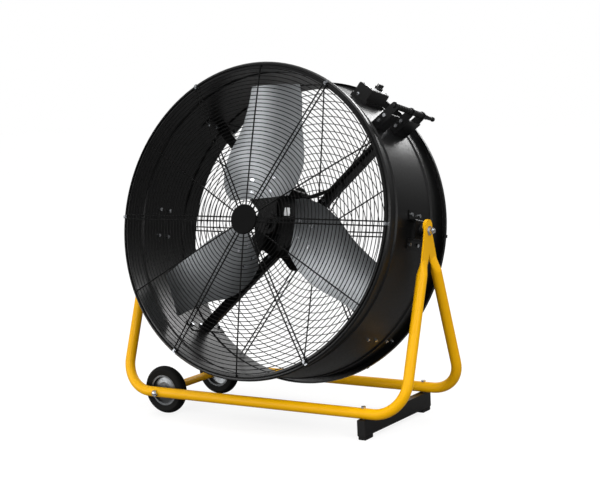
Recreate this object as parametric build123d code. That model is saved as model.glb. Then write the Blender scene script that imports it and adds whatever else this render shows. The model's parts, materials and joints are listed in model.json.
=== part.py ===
# Drum fan on a wheeled tube stand, in millimetres.
#
# Frame of the part: X runs across the fan, Y from front to back, Z up.  The origin lies on the
# floor, under the middle of the tilt axis.  The drum and all it carries are drawn upright in a
# frame of their own: origin on the tilt axis, front towards -Y.  on_drum() leans them back.
# Pieces fixed at an angle round the drum are drawn at its right side, where X is the radius,
# Y the drum's axis and Z the way round, and around() turns them to their place.

import os
from math import asin, cos, degrees, hypot, radians, sin, sqrt, tan

from build123d import *

# ---------------------------------------------------------------- clearances
SEAT = 0.2            # gap between a curved piece and what carries it
RUN = 0.05            # radial running clearance of a shaft in its bore
FACE_GAP = 0.3        # gap between faces that turn past each other
BOLT_PLAY = 0.2       # radial play of a bolt in its hole

# ---------------------------------------------------------------- drum
RIM_R = 480.0         # outer radius of the flanged rims
DRUM_DEPTH = 359.0    # over both rims
SHELL_R = 463.0       # outer radius of the wall
SHELL_T = 2.0         # sheet thickness
SHELL_IN_R = SHELL_R - SHELL_T
SHELL_BOLT_R = 3.0    # screws through the wall
SHELL_BOLT_FLATS = 10.0
SHELL_BOLT_HEAD = 4.0
SHELL_NUT_T = 5.0
RIM_LIP = 16.0        # axial width of the lip that turns back at each rim
RIM_ROUND = 5.0       # bend at the rim's outer corner
BEAD_Y = 107.0        # ring beads, from the drum's middle plane
BEAD_W = 16.0
BEAD_H = 4.0
TILT = 13.0           # how far the drum leans back at rest, degrees

# ---------------------------------------------------------------- stand
PIVOT_Z = 590.0       # height of the tilt axis
TUBE_R = 16.0
TUBE_WALL = 2.0
BEND_R = 100.0        # centreline radius of the bends
LEG_X = 507.6         # plane of the legs
BASE_Y = 184.0        # bottom tubes, from the middle
BASE_Z = 76.0         # bottom tubes, above the floor
TAB_T = 5.0           # each leg's flattened end
TAB_TIP_R = 20.0
TAB_TIP_RISE = 13.0   # centre of the rounded tip above the tilt axis
TAB_ROOT_DROP = 82.0  # where a leg is flat, below the tilt axis
FLATTEN_LEN = 42.0    # length over which the round tube turns flat

# ---------------------------------------------------------------- tilt pivot
PIVOT_BOLT_R = 6.0
PIVOT_BOLT_END = 16.0     # thread past the nut's seat
PIVOT_HEX = 18.0          # across flats
PIVOT_HEAD_T = 7.5
PIVOT_NUT_T = 10.0
PIVOT_WASHER_R = 14.0
PIVOT_WASHER_T = 2.5
SPACER_R = 17.0

# ---------------------------------------------------------------- trunnion brackets
BRACKET_LEN = 74.0        # along the drum's axis
BRACKET_SHEET = 3.0
BRACKET_WEB_X = 487.0     # outer face of the web
BRACKET_WEB_H = 60.0
BRACKET_FLANGE_H = 26.0
TRUNNION_BOLT_Y = 23.5    # bolts, from the bracket's middle
TRUNNION_BOLT_Z = 43.0

# ---------------------------------------------------------------- feet and wheels
FOOT_X = 376.0
FOOT_W = 25.0
FOOT_H = 47.8
FOOT_WALL = 2.0
FOOT_LEN = 400.0
FOOT_CAP_T = 4.0
PAD_LEN = 44.0
PAD_W = 24.0
PAD_CHAMFER = 2.0
FOOT_BOLT_R = 4.0
FOOT_BOLT_HEAD = 5.5
FOOT_BOLT_FLATS = 13.0
FOOT_BOLT_END = 6.0       # thread inside the beam
FOOT_TOP = BASE_Z - TUBE_R - SEAT
FOOT_BOTTOM = FOOT_TOP - FOOT_H
AXLE_X = -375.0
AXLE_R = 6.0
AXLE_NUT_T = 8.0
AXLE_NUT_FLATS = 18.0
AXLE_END = 4.0            # thread past the nuts
WHEEL_Y = 144.0
WHEEL_W = 36.0
RIM_SEAT_R = 45.0         # where the tyre sits on its rim
WHEEL_RIM_W = 28.0
WHEEL_SHEET = 2.0
WHEEL_FLANGE = 4.0        # height of the rim's flanges
HUB_R = 13.0
HUB_LEN = 42.0
CROSS_TUBE_R = 12.5
CROSS_TUBE_WALL = 2.0
CROSS_TUBE_PLUG = 12.0

# ---------------------------------------------------------------- grilles
GRILLE_RING_R = 470.0     # outer ring
GRILLE_WIRE = 5.0         # outer ring and spokes
GRILLE_FINE_WIRE = 3.0    # inner rings
GRILLE_DOME = 20.0        # rise of the dome at the middle
GRILLE_RINGS = 10         # rings drawn, of about three dozen on the fan
GRILLE_HUB_R = 43.0       # inner ring, behind the badge
GRILLE_SPOKES = 6         # double spokes, and as many single ones between
SPOKE_PAIR = 13.0         # spacing of a double spoke's two wires
BADGE_R = 45.0
BADGE_T = 5.0
CLIP_GAP = 0.5            # between a clip and the spoke's two wires
CLIP_SHEET = 1.5

# ---------------------------------------------------------------- motor and its carrier
STRUT_ANGLES = (45.0, 135.0, 225.0, 315.0)
STRUT_NAMES = ("upper_right", "upper_left", "lower_left", "lower_right")
STRUT_Y = 90.0            # front face of the struts
STRUT_W = 32.0
STRUT_D = 16.0
STRUT_SHEET = 3.0
STRUT_IN_R = 96.0         # inner end of a strut
FOOT_PLATE_W = 40.0
FOOT_PLATE_Y = (2.0, 177.0)
FOOT_BOLT_Y = (15.0, 61.0, 126.0, 164.0)
PLATE_T = 6.0
PLATE_SIDE = 200.0
PLATE_CORNER_R = 24.0
PLATE_BOLT_R = (108.0, 130.0)
MOTOR_R = 98.0
MOTOR_FRONT_Y = -34.0
MOTOR_COVER_T = 30.0
MOTOR_COVER_NOSE = 20.0   # flat around a cover's bearing seat
MOTOR_BORE_R = 72.0
MOTOR_FINS = 28
FIN_D = 5.0
FIN_W = 4.0
SHAFT_R = 9.5
BEARING_R = 20.0
BEARING_W = 12.0
TERMINAL_BOX = (44.0, 60.0, 20.0)
TERMINAL_ANGLE = 76.0
CABLE_R = 6.0
CABLE_EXIT_Y = 20.0
CABLE_BEND = 22.0
CABLE_WALL_GAP = 22.0     # from the drum's wall to the cable's centre line
CABLE_SHIFT = 8.0         # from the strut's middle
GROMMET_R = 9.0

# ---------------------------------------------------------------- propeller
BLADE_ANGLES = (100.0, 220.0, 340.0)
TIP_R = 437.0
BLADE_T = 2.0
HUB_Y = -67.0             # plane in which the blades cross the axis
BLADE_CAMBER = 0.07       # rise of a section's arc, as a share of its chord
# radius, left edge, right edge across the blade, and pitch in degrees
BLADE_SECTIONS = (
    (84.0, -108.0, 60.0, 24.1),
    (125.0, -123.0, 90.0, 22.1),
    (175.0, -125.0, 112.0, 19.4),
    (235.0, -108.0, 120.0, 16.3),
    (300.0, -71.0, 121.0, 14.9),
    (370.0, -44.0, 128.0, 13.6),
    (445.0, -23.0, 126.0, 12.4),
)
SPIDER_T = 4.0
SPIDER_SEAT = 0.8         # between an arm and its blade
SPIDER_SHARES = (0.30, 0.76)
PROP_HUB_R = 30.0
PROP_HUB_LEN = 44.0
HUB_MIDDLE = HUB_Y + 8
HUB_NUT_T = 10.0
HUB_NUT_FLATS = 30.0
NECK_W = 34.0
NECK_T = 12.0
RIVET_R = 3.0
RIVET_HEAD_R = 6.0
RIVET_HEAD_T = 2.0
RIVET_SEAT = 0.5          # under a rivet's head, for the blade's curve
RIVET_HOLE = 30.0         # how far a rivet's hole is cut to both sides
RIVET_RADII = (105.0, 145.0)
RIVET_SHARES = (0.36, 0.64)      # places across the blade, as shares of its chord
RIVET_AT = [(radius, share) for radius in RIVET_RADII for share in RIVET_SHARES]
BLADE_RADII = [85.0 + 20.0 * n for n in range(19)]     # evenly spaced, so that the loft stays smooth
SPIDER_RADII = sorted((92.0, 125.0, 160.0) + RIVET_RADII)

# ---------------------------------------------------------------- control box and knob
BOX_ANGLE = 57.2
BOX_Y = (-18.0, 85.0)
BOX_W = 54.0
BOX_TOP_R = 510.0
BOX_WALL = 2.5
BOX_ROUND = 6.0
BOX_BASE_T = 6.0
BOX_LIP = 5.0
BOX_LIP_T = 3.0
KNOB_Y = 52.0
KNOB_R = 13.5
KNOB_H = 18.0
KNOB_STEM_R = 3.0
SPINDLE_DEPTH = 12.0      # spindle inside the switch body
SWITCH_BODY = (24.0, 34.0, 34.0)
GLAND_R = 9.0
GLAND_THREAD_R = 7.5
GLAND_HEX_T = 5.0
GLAND_LEN = 20.0
GLAND_BORE = 4.0

# ---------------------------------------------------------------- handle
HANDLE_ANGLE = 40.0
HANDLE_R = 547.0
HANDLE_FRONT = (-94.5, -48.0)     # front bracket, over its flange and its web
HANDLE_REAR = (8.0, 80.0)         # rear bracket, over both its flanges
HANDLE_SHEET = 5.0
HANDLE_Z = (-19.0, 11.0)          # both brackets, across the drum's axis
HANDLE_WEB_TOP = 20.0             # from the bar's middle down to the web's edge
HANDLE_EYE_R = 12.0
HANDLE_FOOT_L = 26.0
HANDLE_FOOT_T = 3.0
HANDLE_LEG_H = 54.0
HANDLE_BOLT_RISES = (22.0, 44.0)
HANDLE_SCREW_Y = 16.0             # foot screws, behind the flange
HANDLE_BAR_R = 5.5
GRIP_R = 9.0
GRIP_WAIST = 1.5                  # depth of the grooves between collars
GRIP_COLLARS = 5
GRIP_COLLAR_W = 8.0
HANDLE_BALL_R = 7.5
HANDLE_BALL_Y = 146.0
BAR_STEPS = ((24.0, 8.0), (48.0, 6.5))   # behind the rear bracket: how far, and the radius so far


# ---------------------------------------------------------------- helpers
def on_drum(shape):
    """Lean a piece drawn in the drum's frame back, and lift it onto the tilt axis."""
    return Pos(0, 0, PIVOT_Z) * Rot(-TILT, 0, 0) * shape


def around(angle, shape):
    """Turn a piece drawn at the drum's right side to its angle, anticlockwise seen from the front."""
    return Rot(0, -angle, 0) * shape


def along(axis, radius, start, end, inner=0.0):
    """A rod, or a tube where inner is given, on an axis through the origin."""
    plane = {"X": Plane.YZ, "Y": Plane.XZ, "Z": Plane.XY}[axis]
    ring = Circle(radius)
    if inner:
        ring -= Circle(inner)
    rod = extrude(plane * ring, amount=end - start)
    step = {"X": Pos(start, 0, 0), "Y": Pos(0, end, 0), "Z": Pos(0, 0, start)}[axis]
    return step * rod


def hexagon(axis, flats, start, end):
    """A hexagonal prism between two places on an axis."""
    plane = {"X": Plane.YZ, "Y": Plane.XZ, "Z": Plane.XY}[axis]
    prism = extrude(plane * RegularPolygon(flats / 2, 6, major_radius=False), amount=end - start)
    step = {"X": Pos(start, 0, 0), "Y": Pos(0, end, 0), "Z": Pos(0, 0, start)}[axis]
    return step * prism


def spun(points, axis=Axis.Y):
    """Turn a closed outline of (radius, place along the axis) points round the Y axis."""
    outline = make_face(Polyline([(r, y) for r, y in points], close=True))
    return revolve(outline, axis)


def group(shapes):
    return Compound(children=list(shapes))


def both_sides(shape):
    """A piece at the right side and its mirror image at the left."""
    return [shape, mirror(shape, about=Plane.YZ)]


def bolt(axis, radius, flats, seat, head, end):
    """A hexagon bolt: its head stands on the seat and its shank runs to the end."""
    low, high = sorted((seat, seat + head))
    start, stop = sorted((seat, end))
    return hexagon(axis, flats, low, high) + along(axis, radius, start, stop)


# ---------------------------------------------------------------- stand
def leg_direction(side):
    run = (0.0, -side * BASE_Y, PIVOT_Z - BASE_Z)
    length = hypot(run[1], run[2])
    return (0.0, run[1] / length, run[2] / length)


def leg_point(side, hand, drop):
    """The place on a leg's centreline that lies a given drop below the tilt axis."""
    share = drop / (PIVOT_Z - BASE_Z)
    return (hand * LEG_X, side * BASE_Y * share, PIVOT_Z - drop)


def flattened_end(side, hand):
    """The round tube pressed flat, and the tab with the hole for the pivot bolt."""
    inward = -side * hand * TAB_T / 2           # the front tube's tabs lie outside the rear tube's
    round_at = leg_point(side, hand, TAB_ROOT_DROP + FLATTEN_LEN)
    flat_at = leg_point(side, hand, TAB_ROOT_DROP)
    rise = leg_direction(side)
    round_plane = Plane(origin=round_at, x_dir=(1, 0, 0), z_dir=rise)
    flat_middle = (flat_at[0] + inward, flat_at[1], flat_at[2])
    flat_plane = Plane(origin=flat_middle, x_dir=(1, 0, 0), z_dir=rise)
    neck = loft([round_plane * Circle(TUBE_R), flat_plane * Ellipse(TAB_T / 2, TAB_TIP_R)])
    tip = Pos(0, PIVOT_Z + TAB_TIP_RISE) * Circle(TAB_TIP_R)
    root = Pos(flat_at[1], flat_at[2]) * Circle(TAB_TIP_R - 1)
    outline = make_hull(tip.edges() + root.edges())
    tab = extrude(Plane.YZ * outline, amount=TAB_T)
    tab = Pos(hand * LEG_X + inward - TAB_T / 2, 0, 0) * tab
    return neck + tab


def frame_tube(side):
    """One bent tube of the stand: a bottom run and two legs with flattened ends."""
    drop = TAB_ROOT_DROP + FLATTEN_LEN
    path = FilletPolyline(
        leg_point(side, -1, drop),
        (-LEG_X, side * BASE_Y, BASE_Z),
        (LEG_X, side * BASE_Y, BASE_Z),
        leg_point(side, 1, drop),
        radius=BEND_R,
    )
    section = Plane(origin=path @ 0, z_dir=path % 0) * (Circle(TUBE_R) - Circle(TUBE_R - TUBE_WALL))
    tube = sweep(section, path=path)
    for hand in (-1, 1):
        tube += flattened_end(side, hand)
    reach = LEG_X + TUBE_R
    tube -= Pos(0, 0, PIVOT_Z) * along("X", PIVOT_BOLT_R + BOLT_PLAY, -reach, reach)
    near, far = sorted((side * (BASE_Y - 2 * TUBE_R), side * (BASE_Y + 2 * TUBE_R)))
    tube -= Pos(AXLE_X, 0, BASE_Z) * along("Y", AXLE_R + BOLT_PLAY, near, far)
    hole = along("Z", FOOT_BOLT_R + BOLT_PLAY, -2 * TUBE_R, 2 * TUBE_R)
    tube -= Pos(FOOT_X, side * BASE_Y, BASE_Z) * hole
    return tube


def foot_beam():
    section = Rectangle(FOOT_W, FOOT_H) - Rectangle(FOOT_W - 2 * FOOT_WALL, FOOT_H - 2 * FOOT_WALL)
    beam = extrude(Plane.XZ * section, amount=FOOT_LEN / 2, both=True)
    beam = Pos(FOOT_X, 0, (FOOT_TOP + FOOT_BOTTOM) / 2) * beam
    for side in (-1, 1):
        hole = along("Z", FOOT_BOLT_R + BOLT_PLAY, -FOOT_H / 2, FOOT_H / 2)
        beam -= Pos(FOOT_X, side * BASE_Y, FOOT_TOP) * hole
    return beam


def foot_beam_end_caps():
    """Moulded caps: a plate over each end of the beam, with a plug that fills the tube."""
    plate = RectangleRounded(FOOT_W, FOOT_H, 2)
    plug = Rectangle(FOOT_W - 2 * (FOOT_WALL + SEAT), FOOT_H - 2 * (FOOT_WALL + SEAT))
    caps = []
    for side in (-1, 1):
        face = Plane(origin=(FOOT_X, side * FOOT_LEN / 2, (FOOT_TOP + FOOT_BOTTOM) / 2),
                     x_dir=(1, 0, 0), z_dir=(0, side, 0))
        cap = extrude(face * plate, amount=FOOT_CAP_T)
        caps.append(cap + extrude(face * plug, amount=-FOOT_CAP_T * 2))
    return group(caps)


def rubber_feet():
    pads = []
    for side in (-1, 1):
        foot = Box(PAD_W, PAD_LEN, FOOT_BOTTOM, align=(Align.CENTER, Align.CENTER, Align.MIN))
        foot = chamfer(foot.faces().sort_by(Axis.Z)[0].edges(), PAD_CHAMFER)
        pads.append(Pos(FOOT_X, side * (FOOT_LEN - PAD_LEN) / 2, 0) * foot)
    return group(pads)


def foot_beam_bolts():
    """Screws down through the bottom tubes into the beam's top wall."""
    seat = TUBE_R + SEAT
    reach = -(TUBE_R + SEAT + FOOT_WALL + FOOT_BOLT_END)
    screw = bolt("Z", FOOT_BOLT_R, FOOT_BOLT_FLATS, seat, FOOT_BOLT_HEAD, reach)
    screw = Pos(FOOT_X, BASE_Y, BASE_Z) * screw
    return group([screw, mirror(screw, about=Plane.XZ)])


def wheel_axle():
    reach = BASE_Y + TUBE_R + AXLE_NUT_T + AXLE_END
    return Pos(AXLE_X, 0, BASE_Z) * along("Y", AXLE_R, -reach, reach)


def axle_nuts():
    seat = BASE_Y + TUBE_R + SEAT
    nut = hexagon("Y", AXLE_NUT_FLATS, seat, seat + AXLE_NUT_T)
    nut -= along("Y", AXLE_R + RUN, seat, seat + AXLE_NUT_T)
    nut = Pos(AXLE_X, 0, BASE_Z) * nut
    return group([nut, mirror(nut, about=Plane.XZ)])


def axle_cross_tube():
    """Spacer tube between the wheels, with a plug in each end that rides on the axle."""
    end = WHEEL_Y - HUB_LEN / 2 - FACE_GAP
    bore = AXLE_R + SEAT
    inner = CROSS_TUBE_R - CROSS_TUBE_WALL
    throat = end - CROSS_TUBE_PLUG
    outline = [(bore, -end), (CROSS_TUBE_R, -end), (CROSS_TUBE_R, end), (bore, end),
               (bore, throat), (inner, throat), (inner, -throat), (bore, -throat)]
    return Pos(AXLE_X, 0, BASE_Z) * spun(outline)


def tyre(side):
    """Solid rubber tyre: a crowned tread, round shoulders and a groove for the rim."""
    outer = BASE_Z
    half = WHEEL_W / 2
    shoulder = outer - 11
    inner = RIM_SEAT_R + SEAT
    seat = WHEEL_RIM_W / 2 - WHEEL_SHEET - SEAT
    flange = RIM_SEAT_R + WHEEL_FLANGE + SEAT
    flank = Polyline((inner, seat), (flange, seat), (flange, half - 2), (shoulder, half))
    crown = ThreePointArc((shoulder, half), (outer, 0), (shoulder, -half))
    rest = Polyline((shoulder, -half), (flange, 2 - half), (flange, -seat), (inner, -seat), (inner, seat))
    return Pos(AXLE_X, side * WHEEL_Y, BASE_Z) * revolve(make_face(flank + crown + rest), Axis.Y)


def wheel_rim(side):
    """Pressed steel rim: a seat with two flanges and a dished disc down to the hub."""
    s = WHEEL_SHEET
    half = WHEEL_RIM_W / 2
    hub = HUB_R + SEAT
    lip = RIM_SEAT_R + WHEEL_FLANGE
    outline = [
        (RIM_SEAT_R, half - s), (lip, half - s), (lip, half), (RIM_SEAT_R - s, half),
        (RIM_SEAT_R - s, 5), (hub + 12, 9), (hub, 9), (hub, 7), (hub + 11, 7), (RIM_SEAT_R - s, 3),
        (RIM_SEAT_R - s, -half), (lip, -half), (lip, s - half), (RIM_SEAT_R, s - half),
    ]
    outline = [(r, side * y) for r, y in outline]
    return Pos(AXLE_X, side * WHEEL_Y, BASE_Z) * spun(outline)


def wheel_hub(side):
    """Hub sleeve with a collar that the rim's disc sits on."""
    hub = along("Y", HUB_R, -HUB_LEN / 2, HUB_LEN / 2)
    low, high = sorted((side * (9 + SEAT), side * 12))
    hub += along("Y", HUB_R + 4, low, high)
    hub -= along("Y", AXLE_R + RUN, -HUB_LEN, HUB_LEN)
    return Pos(AXLE_X, side * WHEEL_Y, BASE_Z) * hub


# ---------------------------------------------------------------- tilt pivot, right side
TAB_INNER_X = LEG_X - TAB_T
TAB_OUTER_X = LEG_X + TAB_T
WEB_INNER_X = BRACKET_WEB_X - BRACKET_SHEET


def at_pivot(shape):
    return Pos(0, 0, PIVOT_Z) * shape


def pivot_bolts():
    seat = WEB_INNER_X - FACE_GAP
    end = TAB_OUTER_X + PIVOT_WASHER_T + PIVOT_BOLT_END
    return group(both_sides(at_pivot(bolt("X", PIVOT_BOLT_R, PIVOT_HEX, seat, -PIVOT_HEAD_T, end))))


def pivot_spacers():
    ring = along("X", SPACER_R, BRACKET_WEB_X + FACE_GAP, TAB_INNER_X, PIVOT_BOLT_R + BOLT_PLAY)
    return group(both_sides(at_pivot(ring)))


def pivot_washers():
    ring = along("X", PIVOT_WASHER_R, TAB_OUTER_X, TAB_OUTER_X + PIVOT_WASHER_T, PIVOT_BOLT_R + BOLT_PLAY)
    return group(both_sides(at_pivot(ring)))


def pivot_nuts():
    seat = TAB_OUTER_X + PIVOT_WASHER_T
    nut = hexagon("X", PIVOT_HEX, seat, seat + PIVOT_NUT_T)
    nut -= along("X", PIVOT_BOLT_R + RUN, seat, seat + PIVOT_NUT_T)
    return group(both_sides(at_pivot(nut)))


# ---------------------------------------------------------------- drum
def shell_hole(angle, y, radius):
    return around(angle, Pos(0, y, 0) * along("X", radius, SHELL_R - 4 * SHELL_T, SHELL_R + 4 * SHELL_T))



HANDLE_FOOT_ANGLE = HANDLE_ANGLE + degrees(asin((HANDLE_Z[0] + HANDLE_SHEET + HANDLE_Z[1]) / 2 / SHELL_R))
HANDLE_SCREW_PLACES = [span[0] + HANDLE_SHEET + HANDLE_SCREW_Y for span in (HANDLE_FRONT, HANDLE_REAR)]


def drum_shell():
    """Rolled sheet: a wall with two ring beads, and at each end a flange with a lip turned back."""
    half = DRUM_DEPTH / 2
    t = SHELL_T

    def end_profile(s):
        return [
            (SHELL_R, s * (half - t)), (RIM_R - RIM_ROUND, s * (half - t)),
            (RIM_R - t, s * (half - RIM_ROUND)), (RIM_R - t, s * (half - RIM_LIP)),
            (RIM_R, s * (half - RIM_LIP)), (RIM_R, s * (half - RIM_ROUND)),
            (RIM_R - RIM_ROUND + t / 2, s * half), (SHELL_IN_R, s * half),
        ]

    def bead(s, r, lift):
        w = BEAD_W / 2
        return [(r, s * (BEAD_Y + w)), (r + lift, s * (BEAD_Y + w / 3)),
                (r + lift, s * (BEAD_Y - w / 3)), (r, s * (BEAD_Y - w))]

    outline = end_profile(1)[::-1]
    outline = outline + bead(1, SHELL_R, BEAD_H) + bead(-1, SHELL_R, BEAD_H)[::-1] + end_profile(-1)
    outline = outline + bead(-1, SHELL_IN_R, BEAD_H) + bead(1, SHELL_IN_R, BEAD_H)[::-1]
    shell = spun(outline)
    bolt_r = SHELL_BOLT_R + BOLT_PLAY
    rise = degrees(asin(TRUNNION_BOLT_Z / SHELL_R))
    for angle in (0, 180):
        for lean in (-rise, rise):
            for y in (-TRUNNION_BOLT_Y, TRUNNION_BOLT_Y):
                shell -= shell_hole(angle + lean, y, bolt_r)
    for angle in STRUT_ANGLES:
        for y in FOOT_BOLT_Y:
            shell -= shell_hole(angle, y, bolt_r)
    for y in HANDLE_SCREW_PLACES:
        shell -= shell_hole(HANDLE_FOOT_ANGLE, y, bolt_r)
    shell -= shell_hole(BOX_ANGLE, CABLE_EXIT_Y, GROMMET_R)
    return shell


def curved_plate(inner, outer, y_low, y_high, z_low, z_high):
    """A plate that follows the drum's curve at its right side."""
    block = Box(outer, y_high - y_low, z_high - z_low, align=(Align.MIN, Align.MIN, Align.MIN))
    block = Pos(0, y_low, z_low) * block
    return block & along("Y", outer, y_low, y_high, inner)


def trunnion_bracket(hand):
    """Hat-section bracket: two flanges bolted to the drum and a web that holds the pivot bolt."""
    half = BRACKET_LEN / 2
    web_half = BRACKET_WEB_H / 2
    flange = web_half + BRACKET_FLANGE_H
    inner = SHELL_R + SEAT
    bracket = curved_plate(inner, inner + BRACKET_SHEET, -half, half, -flange, flange)
    bracket -= Box(2 * RIM_R, BRACKET_LEN, BRACKET_WEB_H - 2 * BRACKET_SHEET)
    foot = sqrt(SHELL_R ** 2 - web_half ** 2) + SEAT
    outer = Plane.XZ * Pos((foot + BRACKET_WEB_X) / 2, 0) * Rectangle(BRACKET_WEB_X - foot, BRACKET_WEB_H)
    hat = extrude(outer, amount=half, both=True)
    hat = fillet(hat.edges().filter_by(Axis.Y).group_by(Axis.X)[-1], 2 * BRACKET_SHEET)
    hollow = Plane.XZ * Pos((foot + WEB_INNER_X) / 2 - BRACKET_SHEET, 0) * Rectangle(
        WEB_INNER_X - foot + 2 * BRACKET_SHEET, BRACKET_WEB_H - 2 * BRACKET_SHEET)
    hat -= extrude(hollow, amount=half, both=True)
    hat -= along("Y", inner, -half, half)
    bracket += hat
    bracket -= along("X", PIVOT_BOLT_R + RUN, WEB_INNER_X - 1, BRACKET_WEB_X + 1)
    rise = degrees(asin(TRUNNION_BOLT_Z / SHELL_R))
    for lean in (-rise, rise):
        for y in (-TRUNNION_BOLT_Y, TRUNNION_BOLT_Y):
            bracket -= shell_hole(lean, y, SHELL_BOLT_R + BOLT_PLAY)
    return bracket if hand > 0 else mirror(bracket, about=Plane.YZ)


def shell_bolt(angle, y, outer_seat, inner_seat, thread):
    """A bolt through the drum's wall, its head outside, with a nut on the inner seat."""
    body = bolt("X", SHELL_BOLT_R, SHELL_BOLT_FLATS, outer_seat, SHELL_BOLT_HEAD, inner_seat - thread)
    nut = hexagon("X", SHELL_BOLT_FLATS, inner_seat - SHELL_NUT_T, inner_seat)
    nut -= along("X", SHELL_BOLT_R + RUN, inner_seat - SHELL_NUT_T, inner_seat)
    return [around(angle, Pos(0, y, 0) * piece) for piece in (body, nut)]


def trunnion_bolts():
    rise = degrees(asin(TRUNNION_BOLT_Z / SHELL_R))
    pieces = []
    for angle in (0, 180):
        for lean in (-rise, rise):
            for y in (-TRUNNION_BOLT_Y, TRUNNION_BOLT_Y):
                outer = SHELL_R + BRACKET_SHEET + 2 * SEAT
                pieces += shell_bolt(angle + lean, y, outer, SHELL_IN_R - SEAT, 8)
    return group(pieces)


def strut_foot_bolts():
    pieces = []
    for angle in STRUT_ANGLES:
        for y in FOOT_BOLT_Y:
            pieces += shell_bolt(angle, y, SHELL_R + SEAT, SHELL_IN_R - STRUT_SHEET - 2 * SEAT, 7)
    return group(pieces)


# ---------------------------------------------------------------- grilles
def dome(radius):
    """Axial place of the grille's wires at a radius, measured out from the rim's face."""
    return GRILLE_DOME * (1 - (radius / GRILLE_RING_R) ** 2)


def grille(side):
    """Round guard: rings on double and single spokes, domed away from the drum."""
    face = DRUM_DEPTH / 2
    wire, fine = GRILLE_WIRE, GRILLE_FINE_WIRE

    def place(y, shape):
        low = side * (face + y)
        return Pos(0, low, 0) * shape

    def ring(radius, width, y):
        low, high = sorted((0.0, side * width))
        return place(y, along("Y", radius + width / 2, low, high, radius - width / 2))

    guard = ring(GRILLE_RING_R, wire, 0)
    step = (GRILLE_RING_R - GRILLE_HUB_R) / (GRILLE_RINGS - 1)
    radii = [GRILLE_HUB_R + n * step for n in range(GRILLE_RINGS)]

    def spoke(angle, shift):
        outline = [(r, face + dome(r)) for r in radii]
        top = [(r, y + wire) for r, y in outline]
        flat = make_face(Polyline(outline + top[::-1], close=True))
        bar = extrude(flat, amount=fine / 2, both=True)
        bar = Pos(0, 0, shift) * bar
        if side < 0:
            bar = mirror(bar, about=Plane.XZ)
        return around(angle, bar)

    for n in range(GRILLE_SPOKES):
        angle = n * 360 / GRILLE_SPOKES
        guard += spoke(angle, SPOKE_PAIR / 2)
        guard += spoke(angle, -SPOKE_PAIR / 2)
        guard += spoke(angle + 180 / GRILLE_SPOKES, 0)
    for r in radii[:-1]:
        guard += ring(r, fine, dome(r) + wire - fine / 2)
    return guard


def grille_badge():
    """Bare round badge in the middle of the front grille, with a rounded edge."""
    back = -(DRUM_DEPTH / 2 + dome(GRILLE_HUB_R) + GRILLE_WIRE + GRILLE_FINE_WIRE / 2 + SEAT)
    disc = along("Y", BADGE_R, back - BADGE_T, back)
    return fillet(disc.edges().filter_by(GeomType.CIRCLE).group_by(Axis.Y)[0], BADGE_T / 2)


def grille_clips(side):
    """Bent straps that hold the outer ring down on the rim's flange, each between a spoke's two wires."""
    face = DRUM_DEPTH / 2
    w = GRILLE_WIRE
    s = CLIP_SHEET
    inner = GRILLE_RING_R - w / 2 - SEAT
    outer = GRILLE_RING_R + w / 2 + SEAT
    outline = [
        (inner - 2 * s, face + w + SEAT), (outer, face + w + SEAT), (outer, face + SEAT),
        (RIM_R - SEAT, face + SEAT), (RIM_R - SEAT, face + SEAT + s), (outer + s, face + SEAT + s),
        (outer + s, face + w + SEAT + s), (inner - 2 * s, face + w + SEAT + s),
    ]
    half = (SPOKE_PAIR - GRILLE_FINE_WIRE) / 2 - CLIP_GAP
    strap = extrude(make_face(Polyline(outline, close=True)), amount=half, both=True)
    if side < 0:
        strap = mirror(strap, about=Plane.XZ)
    return group(around(n * 360 / GRILLE_SPOKES, strap) for n in range(GRILLE_SPOKES))


# ---------------------------------------------------------------- motor carrier and motor
def motor_strut(angle):
    """Channel-section arm from the mounting plate to a foot plate that follows the drum's wall."""
    outer = SHELL_IN_R - SEAT
    half = STRUT_W / 2
    channel = Pos(STRUT_IN_R, STRUT_Y + STRUT_SHEET, STRUT_SHEET - half)
    foot = curved_plate(outer - STRUT_SHEET, outer, *FOOT_PLATE_Y, -FOOT_PLATE_W / 2, FOOT_PLATE_W / 2)
    arm = Pos(STRUT_IN_R, STRUT_Y, -half) * Box(outer, STRUT_D, STRUT_W, align=(Align.MIN,) * 3)
    arm -= channel * Box(outer, STRUT_D, STRUT_W - 2 * STRUT_SHEET, align=(Align.MIN,) * 3)
    strut = (arm & along("Y", outer - STRUT_SHEET / 2, 0, DRUM_DEPTH / 2)) + foot
    for y in FOOT_BOLT_Y:
        strut -= shell_hole(0, y, SHELL_BOLT_R + BOLT_PLAY)
    for r in PLATE_BOLT_R:
        strut -= Pos(r, 0, 0) * along("Y", SHELL_BOLT_R + BOLT_PLAY, 0, DRUM_DEPTH / 2)
    return around(angle, strut)


def motor_mount_plate():
    """Square plate, corners towards the struts, between the motor and the struts' inner ends."""
    sheet = Plane.XZ * Rot(0, 0, 45) * RectangleRounded(PLATE_SIDE, PLATE_SIDE, PLATE_CORNER_R)
    plate = Pos(0, STRUT_Y, 0) * extrude(sheet, amount=PLATE_T)
    for angle in STRUT_ANGLES:
        for r in PLATE_BOLT_R:
            plate -= around(angle, Pos(r, 0, 0) * along("Y", SHELL_BOLT_R + BOLT_PLAY, 0, DRUM_DEPTH / 2))
    return plate


def strut_plate_bolts():
    seat = STRUT_Y - PLATE_T
    end = STRUT_Y + STRUT_SHEET + 7
    return group(
        around(angle, Pos(r, 0, 0) * bolt("Y", SHELL_BOLT_R, 10, seat, -4, end))
        for angle in STRUT_ANGLES for r in PLATE_BOLT_R
    )


MOTOR_BACK_Y = STRUT_Y - PLATE_T
MOTOR_BODY_Y = (MOTOR_FRONT_Y + MOTOR_COVER_T, MOTOR_BACK_Y - MOTOR_COVER_T)


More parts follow.
